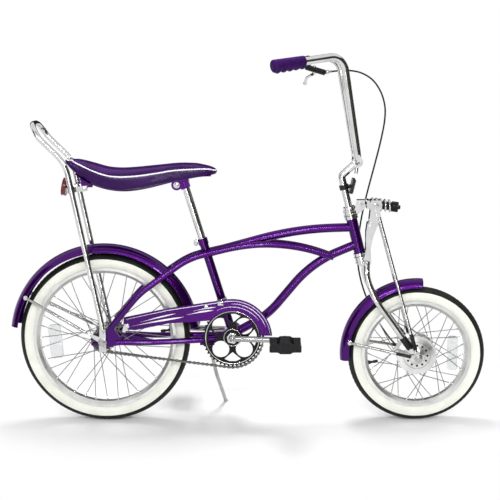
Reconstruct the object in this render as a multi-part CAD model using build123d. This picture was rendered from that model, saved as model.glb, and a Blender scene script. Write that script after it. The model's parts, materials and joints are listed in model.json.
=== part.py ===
"""Chopper bicycle with a springer fork, banana saddle, sissy bar and side stand.

The bicycle is drawn upright: X points forward, Y to its left, Z up, and the
origin is where the rear tyre meets the floor. At the end every piece is
leaned onto the side stand and the origin moves below the middle of the whole.
"""
import os
from math import asin, atan2, cos, degrees, hypot, pi, radians, sin, sqrt, tan

from build123d import *

os.makedirs("parts", exist_ok=True)

# Driving dimensions, in millimetres and degrees
lean_angle = 8.0
seat_gap = 0.2            # between pieces that are bolted or pushed together
running_gap = 0.05        # radial, between a pin and what turns on it

# Wheels
wheelbase = 911.0
rear_wheel_radius = 249.0
front_wheel_radius = 198.5
tyre_section_radius = 23.0
tyre_wall = 3.0
rim_half_width = 17.0
rim_depth = 16.5
rim_wall = 2.0
spoke_radius = 1.15
spokes_per_side = 18
axle_radius = 5.0
axle_nut_radius = 9.5
axle_nut_length = 9.0
spoke_reflector_length = 100.0
rear_reflector_inset = 101.0   # from the tyre's outside to the reflector's middle
front_reflector_inset = 91.5

# Frame
head_top = (720.0, 597.0)
head_bottom = (744.0, 498.0)
head_tube_radius = 16.0
steerer_radius = 12.7
main_tube_radius = 12.7
seat_tube_radius = 12.7
twin_tube_radius = 9.5
stay_radius = 8.5
crank_centre = (375.0, 257.0)
shell_radius = 28.5
shell_bore_radius = 25.6
shell_half_width = 34.0
dropout_inner = 54.0
dropout_thickness = 5.0
seat_tube_top = (288.0, 541.0)
seat_post_radius = 11.1
seat_post_top_height = 706.0

# Drive
chain_line = 46.0
chain_pitch = 12.7
chainring_teeth = 44
sprocket_teeth = 16
chain_pin_radius = 1.8
chain_half_width = 4.6
chain_plate = 1.3
chainring_thickness = 3.0
crank_length = 152.0
spindle_radius = 11.0
crank_flare_start = 60.0
crank_flare_end = 82.0
pedal_length = 92.0
pedal_chord = 87.0
pedal_axle_radius = 5.5

# Steering
handlebar_radius = 11.1
bar_clamp = (735.0, 761.0)
grip_radius = 15.5
fork_blade_radius = 9.5
truss_rod_radius = 4.75
fork_pivot = (761.0, 467.0)
cable_radius = 2.5

# Seat and sissy bar
sissy_radius = 8.0
sissy_half_width = 62.0
saddle_half_width = 68.0
saddle_nose_half_width = 46.0
sissy_gap = 53.0          # the saddle's half width between the sissy bar's legs

# Fenders
fender_wall = 1.2
rear_fender_gap = 29.5
rear_fender_half_width = 31.0
rear_fender_depth = 23.0
front_fender_gap = 24.5
front_fender_half_width = 28.0
front_fender_depth = 25.0
rear_fender_radius = rear_wheel_radius + rear_fender_gap
front_fender_radius = front_wheel_radius + front_fender_gap

# Side stand
stand_pivot = (300.0, 45.0, 226.0)
stand_knee = (321.0, 64.5, 122.0)
stand_foot = (348.0, 127.0, 12.0)
stand_radius = 5.5
stand_fold_tilt = 12.7

rear_axle = (0.0, rear_wheel_radius)
front_axle = (wheelbase, front_wheel_radius)
clamp_height = 689.3      # where the sissy bar's clamps carry the saddle
head_length = hypot(head_bottom[0] - head_top[0], head_bottom[1] - head_top[1])
head_down = ((head_bottom[0] - head_top[0]) / head_length,
             (head_bottom[1] - head_top[1]) / head_length)

nodes = {}


def on_steerer(distance, forward=0.0):
    """A side-view point this far below the head tube's top and ahead of its axis."""
    return (head_top[0] + head_down[0] * distance - head_down[1] * forward,
            head_top[1] + head_down[1] * distance + head_down[0] * forward)


def place(side_point, y=0.0):
    return Vector(side_point[0], y, side_point[1])


def rod(start, end, radius):
    """A round bar between two points."""
    start, end = Vector(start), Vector(end)
    plane = Plane(origin=start, z_dir=end - start)
    return extrude(plane * Circle(radius), (end - start).length)


def sleeve(start, end, outer, inner):
    return rod(start, end, outer) - rod(start, end, inner)


def bent_rod(points, bends, radius):
    """A round bar along straight runs joined by arcs of the given radii."""
    path = FilletPolyline(*[Vector(p) for p in points], radius=bends)
    start = Plane(origin=path @ 0, z_dir=path % 0)
    return sweep(start * Circle(radius), path=path)


def across(side_point, y_from, y_to, radius):
    """A cylinder along Y at a side-view point."""
    return rod(place(side_point, y_from), place(side_point, y_to), radius)


def ring_across(side_point, y_from, y_to, outer, inner):
    return across(side_point, y_from, y_to, outer) - across(side_point, y_from, y_to, inner)


def plate(outline, y_from, y_to):
    """A flat plate between two Y values from its side-view outline of (x, z) points."""
    face = make_face(Polyline(*[(x, y_from, z) for x, z in outline], close=True))
    return extrude(face, y_to - y_from, dir=(0, 1, 0))


def turned(outline, centre):
    """A solid of revolution about Y from (y, radius) points, moved to a wheel centre."""
    profile = make_face(Polyline(*[(0, y, radius) for y, radius in outline], close=True))
    return Pos(centre[0], 0, centre[1]) * revolve(profile, axis=Axis.Y)


def hexagon_nut(centre, y_from, y_to, radius):
    """A six-sided nut on an axle along Y."""
    corners = [(centre[0] + radius * cos(radians(60 * i)), centre[1] + radius * sin(radians(60 * i)))
               for i in range(6)]
    return plate(corners, min(y_from, y_to), max(y_from, y_to))


def polar(centre, radius, angle):
    return (centre[0] + radius * cos(radians(angle)), centre[1] + radius * sin(radians(angle)))


def from_axle(centre, offsets):
    """Side-view points given by their offsets from an axle."""
    return [(centre[0] + x, centre[1] + z) for x, z in offsets]


# Wheels: tyre, rim, spokes, hub and a clear reflector between the spokes
def make_tyre(radius, centre):
    core = radius - tyre_section_radius
    bead = core - tyre_section_radius + 0.3
    flange = bead + 6.4
    section = Pos(0, core) * Circle(tyre_section_radius)
    section -= Pos(0, core) * Circle(tyre_section_radius - tyre_wall)
    section -= Pos(0, bead) * Rectangle(2 * (rim_half_width - rim_wall - tyre_wall), 14)
    for side in (-1, 1):
        section -= Pos(side * (rim_half_width + 2.9), bead) * Rectangle(10, 2 * (flange - bead))
    profile = Plane.YZ * section
    return Pos(centre[0], 0, centre[1]) * revolve(profile, axis=Axis.Y)


def make_rim(radius, centre):
    seat = radius - 2 * tyre_section_radius
    tip, inner = seat + 6.2, seat + 6.2 - rim_depth
    outer, floor = rim_half_width, rim_half_width * 0.6
    profile = [(-outer, tip), (-outer, seat - 2), (-floor, inner), (floor, inner), (outer, seat - 2),
               (outer, tip), (outer - rim_wall, tip), (outer - rim_wall, seat - 1),
               (floor - 1, inner + rim_wall), (1 - floor, inner + rim_wall),
               (rim_wall - outer, seat - 1), (rim_wall - outer, tip)]
    return turned(profile, centre)


def make_spokes(radius, centre, flange_radius, flange_y, cross):
    """Tangent-laced spokes: leading and trailing ones lie side by side without touching."""
    rim_inner = radius - 2 * tyre_section_radius + 6.2 - rim_depth
    step = 360.0 / spokes_per_side
    spokes = []
    for side in (-1, 1):
        for i in range(spokes_per_side):
            lead = 1 if i % 2 == 0 else -1
            hub_angle = radians(step * i + step / 2 * (side > 0))
            rim_angle = hub_angle + lead * radians(step * cross)
            hub_r, rim_r = flange_radius + 1.3, rim_inner - 0.8
            start = (hub_r * cos(hub_angle), side * (flange_y + 1.4 * lead), hub_r * sin(hub_angle))
            end = (rim_r * cos(rim_angle), side * (5.0 + 1.5 * lead), rim_r * sin(rim_angle))
            spokes.append(rod(start, end, spoke_radius))
    return Pos(centre[0], 0, centre[1]) * Compound(children=[s.solid() for s in spokes])


def make_spoke_reflector(centre, reach, depth, thickness, angle):
    """An oblong reflector held between the two sides' spokes, its length across the radius."""
    body = Pos(reach, 0, 0) * Box(depth, thickness, spoke_reflector_length)
    body = fillet(body.edges().filter_by(Axis.Y), 8)
    return Pos(centre[0], 0, centre[1]) * Rot(0, -angle, 0) * body


rear_hub_profile = [(-37, axle_radius + running_gap), (-37, 19), (-31, 19), (-31, 31), (-28, 31), (-28, 22),
                    (28, 22), (28, 29), (31, 29), (31, 21), (37, 21), (37, axle_radius + running_gap)]
front_hub_profile = [(-38, axle_radius + running_gap), (-38, 12), (-34, 22), (-31, 38), (-29, 50), (-28.5, 57),
                     (-25.5, 57), (-23, 46), (23, 46), (25.5, 57), (28.5, 57), (31, 52), (34, 51), (34, 48),
                     (25, 43), (-20, 43), (-25, 36), (-29, 20), (-30, 12), (34, 12),
                     (34, axle_radius + running_gap)]
nodes["rear_tyre"] = make_tyre(rear_wheel_radius, rear_axle)
nodes["rear_rim"] = make_rim(rear_wheel_radius, rear_axle)
nodes["rear_spokes"] = make_spokes(rear_wheel_radius, rear_axle, 31.0, 29.5, 3)
nodes["rear_hub"] = turned(rear_hub_profile, rear_axle)
nodes["rear_spoke_reflector"] = make_spoke_reflector(rear_axle, rear_wheel_radius - rear_reflector_inset, 36.0,
                                                     10.2, 185.0)
nodes["front_tyre"] = make_tyre(front_wheel_radius, front_axle)
nodes["front_rim"] = make_rim(front_wheel_radius, front_axle)
nodes["front_spokes"] = make_spokes(front_wheel_radius, front_axle, 57.0, 27.0, 2)
nodes["front_hub"] = turned(front_hub_profile, front_axle)
nodes["front_spoke_reflector"] = make_spoke_reflector(front_axle, front_wheel_radius - front_reflector_inset,
                                                      29.0, 10.6, 0.0)

# Frame tubes
head_top_3d, head_bottom_3d = place(head_top), place(head_bottom)
head_tube = sleeve(head_top_3d, head_bottom_3d, head_tube_radius, steerer_radius + 1.0)
nodes["head_tube"] = head_tube
head_core = rod(head_top_3d, head_bottom_3d, head_tube_radius + 0.01)

shell = ring_across(crank_centre, -shell_half_width, shell_half_width, shell_radius, shell_bore_radius)
shell_core = across(crank_centre, -shell_half_width, shell_half_width, shell_radius + 0.01)
nodes["bottom_bracket_shell"] = shell
cups = [ring_across(crank_centre, side * (shell_half_width - 8), side * (shell_half_width + 2.5),
                    shell_bore_radius - running_gap, spindle_radius + running_gap) for side in (-1, 1)]
nodes["bottom_bracket_cups"] = Compound(children=[c.solid() for c in cups])

seat_tube_line = [place(crank_centre), place(seat_tube_top)]
seat_tube = sleeve(*seat_tube_line, seat_tube_radius, seat_post_radius + running_gap) - shell_core
nodes["seat_tube"] = seat_tube
seat_core = rod(*seat_tube_line, seat_tube_radius + 0.01)

top_points = [place((734, 572)), place((560, 567)), place((300, 497))]
top_tube = bent_rod(top_points, [900], main_tube_radius)
nodes["top_tube"] = max((top_tube - head_core - seat_core).solids(), key=lambda piece: piece.volume)
down_points = [place((738, 524)), place((607, 469)), place((478, 315)), place((385, 263))]
down_tube = bent_rod(down_points, [330, 240], main_tube_radius)
nodes["down_tube"] = down_tube - head_core - shell_core
down_core = bent_rod(down_points, [330, 240], main_tube_radius + 0.01)
top_core = bent_rod(top_points, [900], main_tube_radius + 0.01)


def make_twin_tube(side):
    points = [(25, rear_axle[1] + 42, 61.5), (108, 389, 54.5), (250, 487, 28), (400, 522, 22.3),
              (540, 531, 21), (668, 486, 11)]
    path = [Vector(x, side * y, z) for x, z, y in points]
    tube = bent_rod(path, [220, 200, 600, 500], twin_tube_radius)
    return tube - seat_core - down_core - top_core


nodes["twin_tube_left"] = make_twin_tube(1)
nodes["twin_tube_right"] = make_twin_tube(-1)


def make_chain_stay(side):
    path = [Vector(364, side * 20, 252), Vector(290, side * 33, 247), Vector(140, side * 46, rear_axle[1] - 6),
            Vector(38, side * 56.5, rear_axle[1] - 3)]
    tube = bent_rod(path, [200, 300], stay_radius) - shell_core
    outline = from_axle(rear_axle, [(-34, -11), (-34, 13), (0, 19), (26, 48), (50, 13), (50, -11), (20, -15)])
    y_in, y_out = dropout_inner, dropout_inner + dropout_thickness
    dropout = plate(outline, y_in, y_out) if side > 0 else plate(outline, -y_out, -y_in)
    slot_z, slot_half = rear_axle[1], axle_radius + 0.2
    slot = plate([(-40, slot_z - slot_half), (-40, slot_z + slot_half), (0, slot_z + slot_half),
                  (0, slot_z - slot_half)], -70, 70) + across(rear_axle, -70, 70, slot_half)
    return tube + dropout - slot


nodes["chain_stay_left"] = make_chain_stay(1)
nodes["chain_stay_right"] = make_chain_stay(-1)
for side_name in ("left", "right"):
    nodes["twin_tube_" + side_name] -= nodes["chain_stay_" + side_name]
for tube, bridge_point, half_length in (("twin_tube", (203, 456), 37), ("chain_stay", (292, 247), 33)):
    bridge = across(bridge_point, -half_length, half_length, 6) - nodes[tube + "_right"]
    nodes[tube + "_left"] += bridge.solids().sort_by(Axis.Y)[-1]

nodes["headset_cups"] = Compound(children=[
    sleeve(place(on_steerer(-10)), place(on_steerer(-seat_gap)), 20, steerer_radius + running_gap).solid(),
    sleeve(place(on_steerer(head_length + seat_gap)), place(on_steerer(head_length + 9)), 19,
           steerer_radius + running_gap).solid()])

# Seat post, collar and saddle
post_axis = (place(seat_tube_top) - place(crank_centre)).normalized()
post_bottom = place(seat_tube_top) - post_axis * 90
seat_post_top = place(seat_tube_top) + post_axis * (seat_post_top_height - seat_tube_top[1]) / post_axis.Z
nodes["seat_post"] = rod(post_bottom, seat_post_top, seat_post_radius)
collar_low = place(seat_tube_top) - post_axis * 18
collar = sleeve(collar_low, place(seat_tube_top) - post_axis * 0.5, seat_tube_radius + 2,
                seat_tube_radius + running_gap)
lug_centre = (seat_tube_top[0] - 17, seat_tube_top[1] - 13)
lug = across(lug_centre, -9, 9, 7) - across(lug_centre, -1.5, 1.5, 8)
nodes["seat_collar"] = collar + (lug - rod(*seat_tube_line, seat_tube_radius + 1))


def make_saddle():
    """The banana saddle: its side view cut out of its plan view, with rounded edges."""
    with BuildPart() as block:
        with BuildSketch(Plane.XZ) as side_view:
            with BuildLine():
                top = Spline((-99, 779), (-14, 757), (70, 744), (167, 752), (260, 757), (332, 744))
                Line(top @ 1, (330, 727))
                bottom = Spline((330, 727), (207, 711), (60, 686), (-33, 711), (-96, 765))
                Line(bottom @ 1, top @ 0)
            make_face()
        extrude(amount=90, both=True)
    with BuildSketch(Plane.XY) as plan:
        with BuildLine():
            Polyline((-110, -44), (-68, -sissy_gap), (10, -saddle_half_width), (120, -saddle_half_width),
                     (340, -saddle_nose_half_width), (340, saddle_nose_half_width), (120, saddle_half_width),
                     (10, saddle_half_width), (-68, sissy_gap), (-110, 44), close=True)
        make_face()
    return block.part & extrude(Pos(0, 0, 600) * plan.sketch, 300)


nodes["saddle"] = make_saddle()


def make_saddle_pan():
    """The steel base below the saddle with the purple bracket round the seat post."""
    saddle = nodes["saddle"]
    pan = Pos(0, 0, -2.7) * saddle - Pos(0, 0, -0.2) * saddle
    pan &= Pos(125, 0, 700) * Box(386, 84, 200)
    outline = [(seat_post_top.X + x, z) for x, z in ((-34.5, 700), (-4.5, 684), (16.5, 690), (14.5, 722),
                                                     (-31.5, 716))]
    bracket = plate(outline, -14, 14) + across((seat_post_top.X - 19.5, 698), -16, 16, 15.5)
    socket = rod(seat_post_top - post_axis * 18.2, seat_post_top + post_axis * 4, 14.5)
    bore = rod(seat_post_top - post_axis * 60, seat_post_top + post_axis * seat_gap, seat_post_radius + running_gap)
    ears = [plate([(-50, 686), (-34, 686), (-30, 709), (-52, 722)], side * 50 - 2, side * 50 + 2)
            for side in (-1, 1)]
    body = pan + bracket + socket + plate([(-52, 724), (-26, 706), (-30, 703), (-54, 717)], -52, 52)
    for ear in ears:
        body += ear
    return body - bore - Pos(0, 0, -0.2) * saddle


nodes["saddle_pan"] = make_saddle_pan()

# Sissy bar, its clamps and the rear reflector
sissy_points = [Vector(2, -sissy_half_width, rear_axle[1] + 36), Vector(-92, -sissy_half_width, 764),
                Vector(-164, -sissy_half_width, 836), Vector(-187, -sissy_half_width, 875)]
sissy_points += [Vector(p.X, -p.Y, p.Z) for p in reversed(sissy_points)]
sissy_leg = (sissy_points[1] - sissy_points[0]).normalized()
sissy_bar = bent_rod(sissy_points, [110, 60, 45, 45, 60, 110], sissy_radius)
sissy_foot_inner = dropout_inner + dropout_thickness + 2.6
for side in (-1, 1):
    y_in, y_out = sorted((side * sissy_foot_inner, side * (sissy_foot_inner + 4.8)))
    foot = plate(from_axle(rear_axle, [(-11, -30), (11, -30), (9, 47), (-7, 47)]), y_in, y_out)
    sissy_bar += foot - across(rear_axle, -90, 90, axle_radius + 0.1)
nodes["sissy_bar"] = sissy_bar

clamp_reach = (clamp_height - sissy_points[0].Z) / sissy_leg.Z
clamp_points = [foot_end + sissy_leg * clamp_reach for foot_end in (sissy_points[0], sissy_points[-1])]
clamp_half_height = 8.0


def make_sissy_clamps():
    body = None
    for point in clamp_points:
        low, high = point - sissy_leg * clamp_half_height, point + sissy_leg * clamp_half_height
        ring = rod(low, high, sissy_radius + 3.5)
        side = 1 if point.Y > 0 else -1
        strap_y = sorted((side * 54.5, side * 52.2))
        strap = plate([(point.X, point.Z - 7), (-34, 686), (-34, 702), (point.X, point.Z + 7)], *strap_y)
        body = ring + strap if body is None else body + ring + strap
    body += plate([(point.X - 2, point.Z - 7), (point.X + 2, point.Z - 8), (point.X + 2, point.Z + 8),
                   (point.X - 2, point.Z + 7)], -sissy_half_width, sissy_half_width)
    for point in clamp_points:
        body -= rod(point - sissy_leg * 20, point + sissy_leg * 20, sissy_radius + running_gap)
    return body


nodes["sissy_clamps"] = make_sissy_clamps()
reflector_middle = Vector(-100, 0, clamp_height + 2.7)
nodes["rear_reflector"] = (rod(reflector_middle, reflector_middle + Vector(-11, 0, 2), 25)
                           + rod(Vector(clamp_points[0].X - 2.2, 0, reflector_middle.Z), reflector_middle, 4))


# Fenders and their stays
def make_fender(centre, radius, half_width, depth, first_angle, last_angle):
    """A crowned sheet swept about the axle, its angles counted from straight ahead, upwards."""
    def arc_face(grow):
        half, top, low = half_width + grow, radius + grow, radius - depth
        return make_face(Curve() + [ThreePointArc((-half, low), (0, top), (half, low)),
                                    Line((half, low), (-half, low))])
    section = arc_face(0) - arc_face(-fender_wall)
    profile = Rot(0, 90 - last_angle, 0) * (Plane.YZ * section)
    return Pos(centre[0], 0, centre[1]) * revolve(profile, axis=Axis.Y, revolution_arc=last_angle - first_angle)


def make_stays(centre, fender_radius, angle, half_width, eye_inner, tab_reach):
    """A pair of round stays from the fender's edges to flat tabs with eyes on the axle."""
    stays = []
    for side in (-1, 1):
        top = place(polar(centre, fender_radius, angle), side * (half_width + 2.9))
        start = place(polar(centre, tab_reach - 5, angle), side * (eye_inner + 2.9))
        y_in, y_out = sorted((side * eye_inner, side * (eye_inner + 2.0)))
        spread = degrees(4 / tab_reach)
        tab = [polar(centre, 9, angle - 90), polar(centre, tab_reach, angle - spread),
               polar(centre, tab_reach, angle + spread), polar(centre, 9, angle + 90)]
        eye = across(centre, y_in, y_out, 10) + plate(tab, y_in, y_out) + rod(start, top, 2.8)
        stays.append((eye - across(centre, -90, 90, axle_radius + 0.1)).solid())
    return Compound(children=stays)


rear_fender = make_fender(rear_axle, rear_fender_radius, rear_fender_half_width, rear_fender_depth, 7.0, 172.0)
nodes["rear_fender"] = rear_fender
nodes["front_fender"] = make_fender(front_axle, front_fender_radius, front_fender_half_width,
                                    front_fender_depth, 86.0, 184.5)
rear_stay_inner = dropout_inner + dropout_thickness + 0.2
rear_stays = make_stays(rear_axle, rear_fender_radius - rear_fender_depth + 1, 151.0,
                        rear_fender_half_width, rear_stay_inner, 42.0)
nodes["rear_fender_stay_right"], nodes["rear_fender_stay_left"] = rear_stays.solids()

# Rear axle, sprocket, chain and brake arm
axle_half_length = 84.0
nut_inner = sissy_foot_inner + 4.8 + seat_gap
axle = across(rear_axle, -axle_half_length, axle_half_length, axle_radius)
for side in (-1, 1):
    axle += hexagon_nut(rear_axle, side * nut_inner, side * (nut_inner + axle_nut_length), axle_nut_radius)
axle += across(rear_axle, 43.2, dropout_inner - seat_gap, 9)
nodes["rear_axle"] = axle

sprocket_radius = chain_pitch / (2 * sin(pi / sprocket_teeth))
chainring_radius = chain_pitch / (2 * sin(pi / chainring_teeth))
centre_gap = hypot(crank_centre[0] - rear_axle[0], crank_centre[1] - rear_axle[1])
centre_angle = degrees(atan2(crank_centre[1] - rear_axle[1], crank_centre[0] - rear_axle[0]))
contact = 90 + degrees(asin((chainring_radius - sprocket_radius) / centre_gap))
top_contact, low_contact = centre_angle + contact, centre_angle - contact
straight_run = sqrt(centre_gap ** 2 - (chainring_radius - sprocket_radius) ** 2)
front_wrap, rear_wrap = 2 * contact, 360 - 2 * contact
loop_length = 2 * straight_run + radians(front_wrap) * chainring_radius + radians(rear_wrap) * sprocket_radius
link_count = 2 * round(loop_length / chain_pitch / 2)
link_pitch = loop_length / link_count


def chain_point(travel, offset=0.0):
    """Where the chain's middle line is after this travel, moved outwards by the offset."""
    travel = travel % loop_length
    if travel < straight_run:
        start = polar(crank_centre, chainring_radius + offset, low_contact)
        end = polar(rear_axle, sprocket_radius + offset, low_contact)
        share = travel / straight_run
        return (start[0] + (end[0] - start[0]) * share, start[1] + (end[1] - start[1]) * share)
    travel -= straight_run
    rear_arc = radians(rear_wrap) * sprocket_radius
    if travel < rear_arc:
        return polar(rear_axle, sprocket_radius + offset, low_contact - degrees(travel / sprocket_radius))
    travel -= rear_arc
    if travel < straight_run:
        start = polar(rear_axle, sprocket_radius + offset, top_contact)
        end = polar(crank_centre, chainring_radius + offset, top_contact)
        share = travel / straight_run
        return (start[0] + (end[0] - start[0]) * share, start[1] + (end[1] - start[1]) * share)
    travel -= straight_run
    return polar(crank_centre, chainring_radius + offset, top_contact - degrees(travel / chainring_radius))


plate_swell, plate_waist = 4.2, 2.9


def make_chain():
    """Two rows of side plates with scalloped edges, joined by a pin at every link."""
    outer = [chain_point(i * link_pitch / 2, plate_swell if i % 2 == 0 else plate_waist)
             for i in range(2 * link_count)]
    inner = [chain_point(i * link_pitch / 2, -plate_swell if i % 2 == 0 else -plate_waist)
             for i in range(2 * link_count)]
    solids = []
    for side in (-1, 1):
        y_low, y_high = sorted((-chain_line + side * chain_half_width,
                                -chain_line + side * (chain_half_width - chain_plate)))
        solids.append(plate(outer, y_low, y_high) - plate(inner, y_low - 1, y_high + 1))
    chain = solids[0] + solids[1]
    pins = []
    for i in range(link_count):
        pin = chain_point(i * link_pitch)
        corners = [(pin[0] + chain_pin_radius * cos(radians(90 * k)), pin[1] + chain_pin_radius * sin(radians(90 * k)))
                   for k in range(4)]
        pins.append(plate(corners, -chain_line - chain_half_width + chain_plate,
                          -chain_line + chain_half_width - chain_plate))
    return chain.fuse(*pins)


nodes["chain"] = make_chain()


def toothed_disc(centre, tooth_count, root, tip, base_half, tip_half, first_angle, thickness):
    """A flat disc with straight-sided teeth, drawn as one outline."""
    outline = []
    for i in range(tooth_count):
        middle = radians(first_angle + 360 / tooth_count * i)
        for radius, half in ((root, -base_half), (tip, -tip_half), (tip, tip_half), (root, base_half)):
            angle = middle + half / radius
            outline.append((centre[0] + radius * cos(angle), centre[1] + radius * sin(angle)))
    return plate(outline, -chain_line - thickness / 2, -chain_line + thickness / 2)


first_pin = chain_point(link_pitch * (int(straight_run / link_pitch) + 4.5))
first_tooth = degrees(atan2(first_pin[1] - rear_axle[1], first_pin[0] - rear_axle[0]))
sprocket = toothed_disc(rear_axle, sprocket_teeth, sprocket_radius - 4.3, sprocket_radius + 3.2, 2.6, 1.2,
                        first_tooth, 2.6)
sprocket += across(rear_axle, -53.8, -38.5, 17)
nodes["rear_sprocket"] = sprocket - across(rear_axle, -60, -30, axle_radius + running_gap)

brake_arm = across(rear_axle, 38.8, 42.8, 17)
brake_arm += plate(from_axle(rear_axle, [(0, -14), (0, 13), (128, -16), (138, -21), (128, -25)]), 38.8, 42.8)
nodes["coaster_brake_arm"] = brake_arm - across(rear_axle, 30, 60, axle_radius + running_gap)

# Chain guard
guard_face_y = -58.0
guard_wall = 1.5
guard_depth = 7.0
guard_outer = 115.0
guard_inner = 81.0


def guard_outline(drop, inner_radius, lower_edge):
    """The guard's side view: an arc about the crank that tapers to its rear end."""
    front, rear = 4.0 - drop, 139.0
    outer_radius = guard_outer - drop
    with BuildSketch(Plane.XZ) as outline:
        with BuildLine():
            Line(polar(crank_centre, outer_radius, front), polar(crank_centre, inner_radius, front + 1.6))
            ThreePointArc(*(polar(crank_centre, inner_radius, a) for a in (front + 1.6, 70, rear)))
            Polyline(polar(crank_centre, inner_radius, rear), *lower_edge, (192, 346 - drop),
                     polar(crank_centre, outer_radius, 97.0))
            ThreePointArc(*(polar(crank_centre, outer_radius, a) for a in (97.0, 50, front)))
        make_face()
    return outline.sketch


def make_chain_guard():
    """A pressed guard: a flat face with a lip turned in along its upper edge."""
    pressed = extrude(guard_outline(0, guard_inner, [(192, 302), (95, 282), (60, 285), (62, 319)]), -guard_depth)
    hollow = guard_outline(guard_wall, guard_inner - 3, [(192, 290), (95, 270), (40, 272), (40, 315 - guard_wall)])
    return Pos(0, guard_face_y, 0) * (pressed - Pos(0, guard_wall, 0) * extrude(hollow, -guard_depth))


nodes["chain_guard"] = make_chain_guard()


# Crankset: one-piece crank, chainring and the two pedals
def crank_flare(radius):
    return crank_flare_start + (crank_flare_end - crank_flare_start) * radius / crank_length


crank = across(crank_centre, -crank_flare_start, crank_flare_start, spindle_radius)
for side in (-1, 1):
    elbow = place(crank_centre, side * crank_flare_start)
    eye = (crank_centre[0] - side * crank_length, crank_centre[1])
    crank += Pos(elbow) * Sphere(spindle_radius)
    crank += rod(elbow, place(eye, side * crank_flare_end), 8.5)
    crank += across(eye, side * (crank_flare_end - 6), side * (crank_flare_end + 6), 12)
    crank += across(eye, side * (crank_flare_end + 6), side * (crank_flare_end + 10 + pedal_length), pedal_axle_radius)
nodes["crank_arms"] = crank


def make_chainring():
    root, tip = chainring_radius - 6.5, chainring_radius - chain_pin_radius - 0.3
    ring = toothed_disc(crank_centre, chainring_teeth, root, tip, 3.2, 1.4, 0.0, chainring_thickness)
    cutter_y = (-chain_line - 5, -chain_line + 5)
    for k in range(4):
        ring -= across(polar(crank_centre, 48, 45 + 90 * k), *cutter_y, 24.5)
        apex, left, right = (polar(crank_centre, r, 90 * k + a) for r, a in ((43, 0), (68, 21), (68, -21)))
        ring -= plate([apex, left, polar(crank_centre, 71, 90 * k + 8), polar(crank_centre, 71, 90 * k - 8), right],
                      *cutter_y)
    ring += across(crank_centre, -37.2, -52, 21)
    return ring - across(crank_centre, -70, -20, spindle_radius + running_gap)


nodes["chainring"] = make_chainring()


def make_pedal(side):
    """A rubber block pedal: two treads, a middle barrel and end plates, open between them."""
    middle = (crank_centre[0] - side * crank_length, crank_centre[1])
    half, tall = pedal_chord / 2, 10.5
    outline = [(-half, -tall), (-half + 22, -tall), (-14, -15), (14, -15), (half - 22, -tall), (half, -tall),
               (half, tall), (half - 22, tall), (14, 15), (-14, 15), (-half + 22, tall), (-half, tall)]
    y_in = side * (crank_flare_end + 9)
    y_out = side * (crank_flare_end + 9 + pedal_length)
    low, high = sorted((y_in, y_out))
    body = plate([(middle[0] + x, middle[1] + z) for x, z in outline], low, high)
    for way in (-1, 1):
        window = Pos(middle[0] + way * 19, (low + high) / 2, middle[1]) * Box(10, pedal_length - 20, 60)
        body -= window
    return body - across(middle, low - 5, high + 5, pedal_axle_radius + running_gap)


nodes["pedal_right"] = make_pedal(-1)
nodes["pedal_left"] = make_pedal(1)

# Side stand and its bracket
fold_axis = Vector(0, cos(radians(stand_fold_tilt)), sin(radians(stand_fold_tilt)))
pivot = Vector(*stand_pivot)
bracket = plate([(280, 232), (322, 232), (322, 237.8), (280, 237.8)], -36, 34)
bracket += rod(pivot - fold_axis * 16, pivot - fold_axis * 0.5, 10)
nodes["stand_bracket"] = bracket - rod(pivot - fold_axis * 30, pivot + fold_axis * 5, 4 + running_gap)
stand = rod(pivot, pivot + fold_axis * 12, 10) + rod(pivot - fold_axis * 16, pivot + fold_axis, 4)
stand += bent_rod([pivot + fold_axis * 6.4, Vector(*stand_knee), Vector(*stand_foot)], [120], stand_radius)
toe_way = (Vector(*stand_foot) - Vector(*stand_knee)).normalized()
stand += Solid.make_cone(stand_radius, 9, 16, Plane(origin=Vector(*stand_foot) - toe_way * 14, z_dir=toe_way))
nodes["kickstand"] = stand

# Steering column, crown and springer fork
quill_radius = 10.6
steerer = rod(place(on_steerer(-36)), place(on_steerer(head_length + 12)), steerer_radius)
steerer += rod(place(on_steerer(-36)), place(on_steerer(-27)), 17)
steerer += rod(place(on_steerer(-22)), place(on_steerer(-10.4)), 19)
steerer += rod(place(on_steerer(head_length + 9.4)), place(on_steerer(head_length + 30)), 18)
steerer += plate([(737, 484), (752, 482), (771, 478), (771, 458), (752, 456), (739, 464)], -17, 17)
steerer -= across(fork_pivot, -20, 20, 4.1)
nodes["steerer"] = steerer - rod(place(on_steerer(-50)), place(on_steerer(30)), quill_radius + running_gap)

spring_start, spring_end = Vector(774, 0, 640), Vector(834, 0, 632)
spring_way = (spring_end - spring_start).normalized()
bolt_y = 30.0


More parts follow.
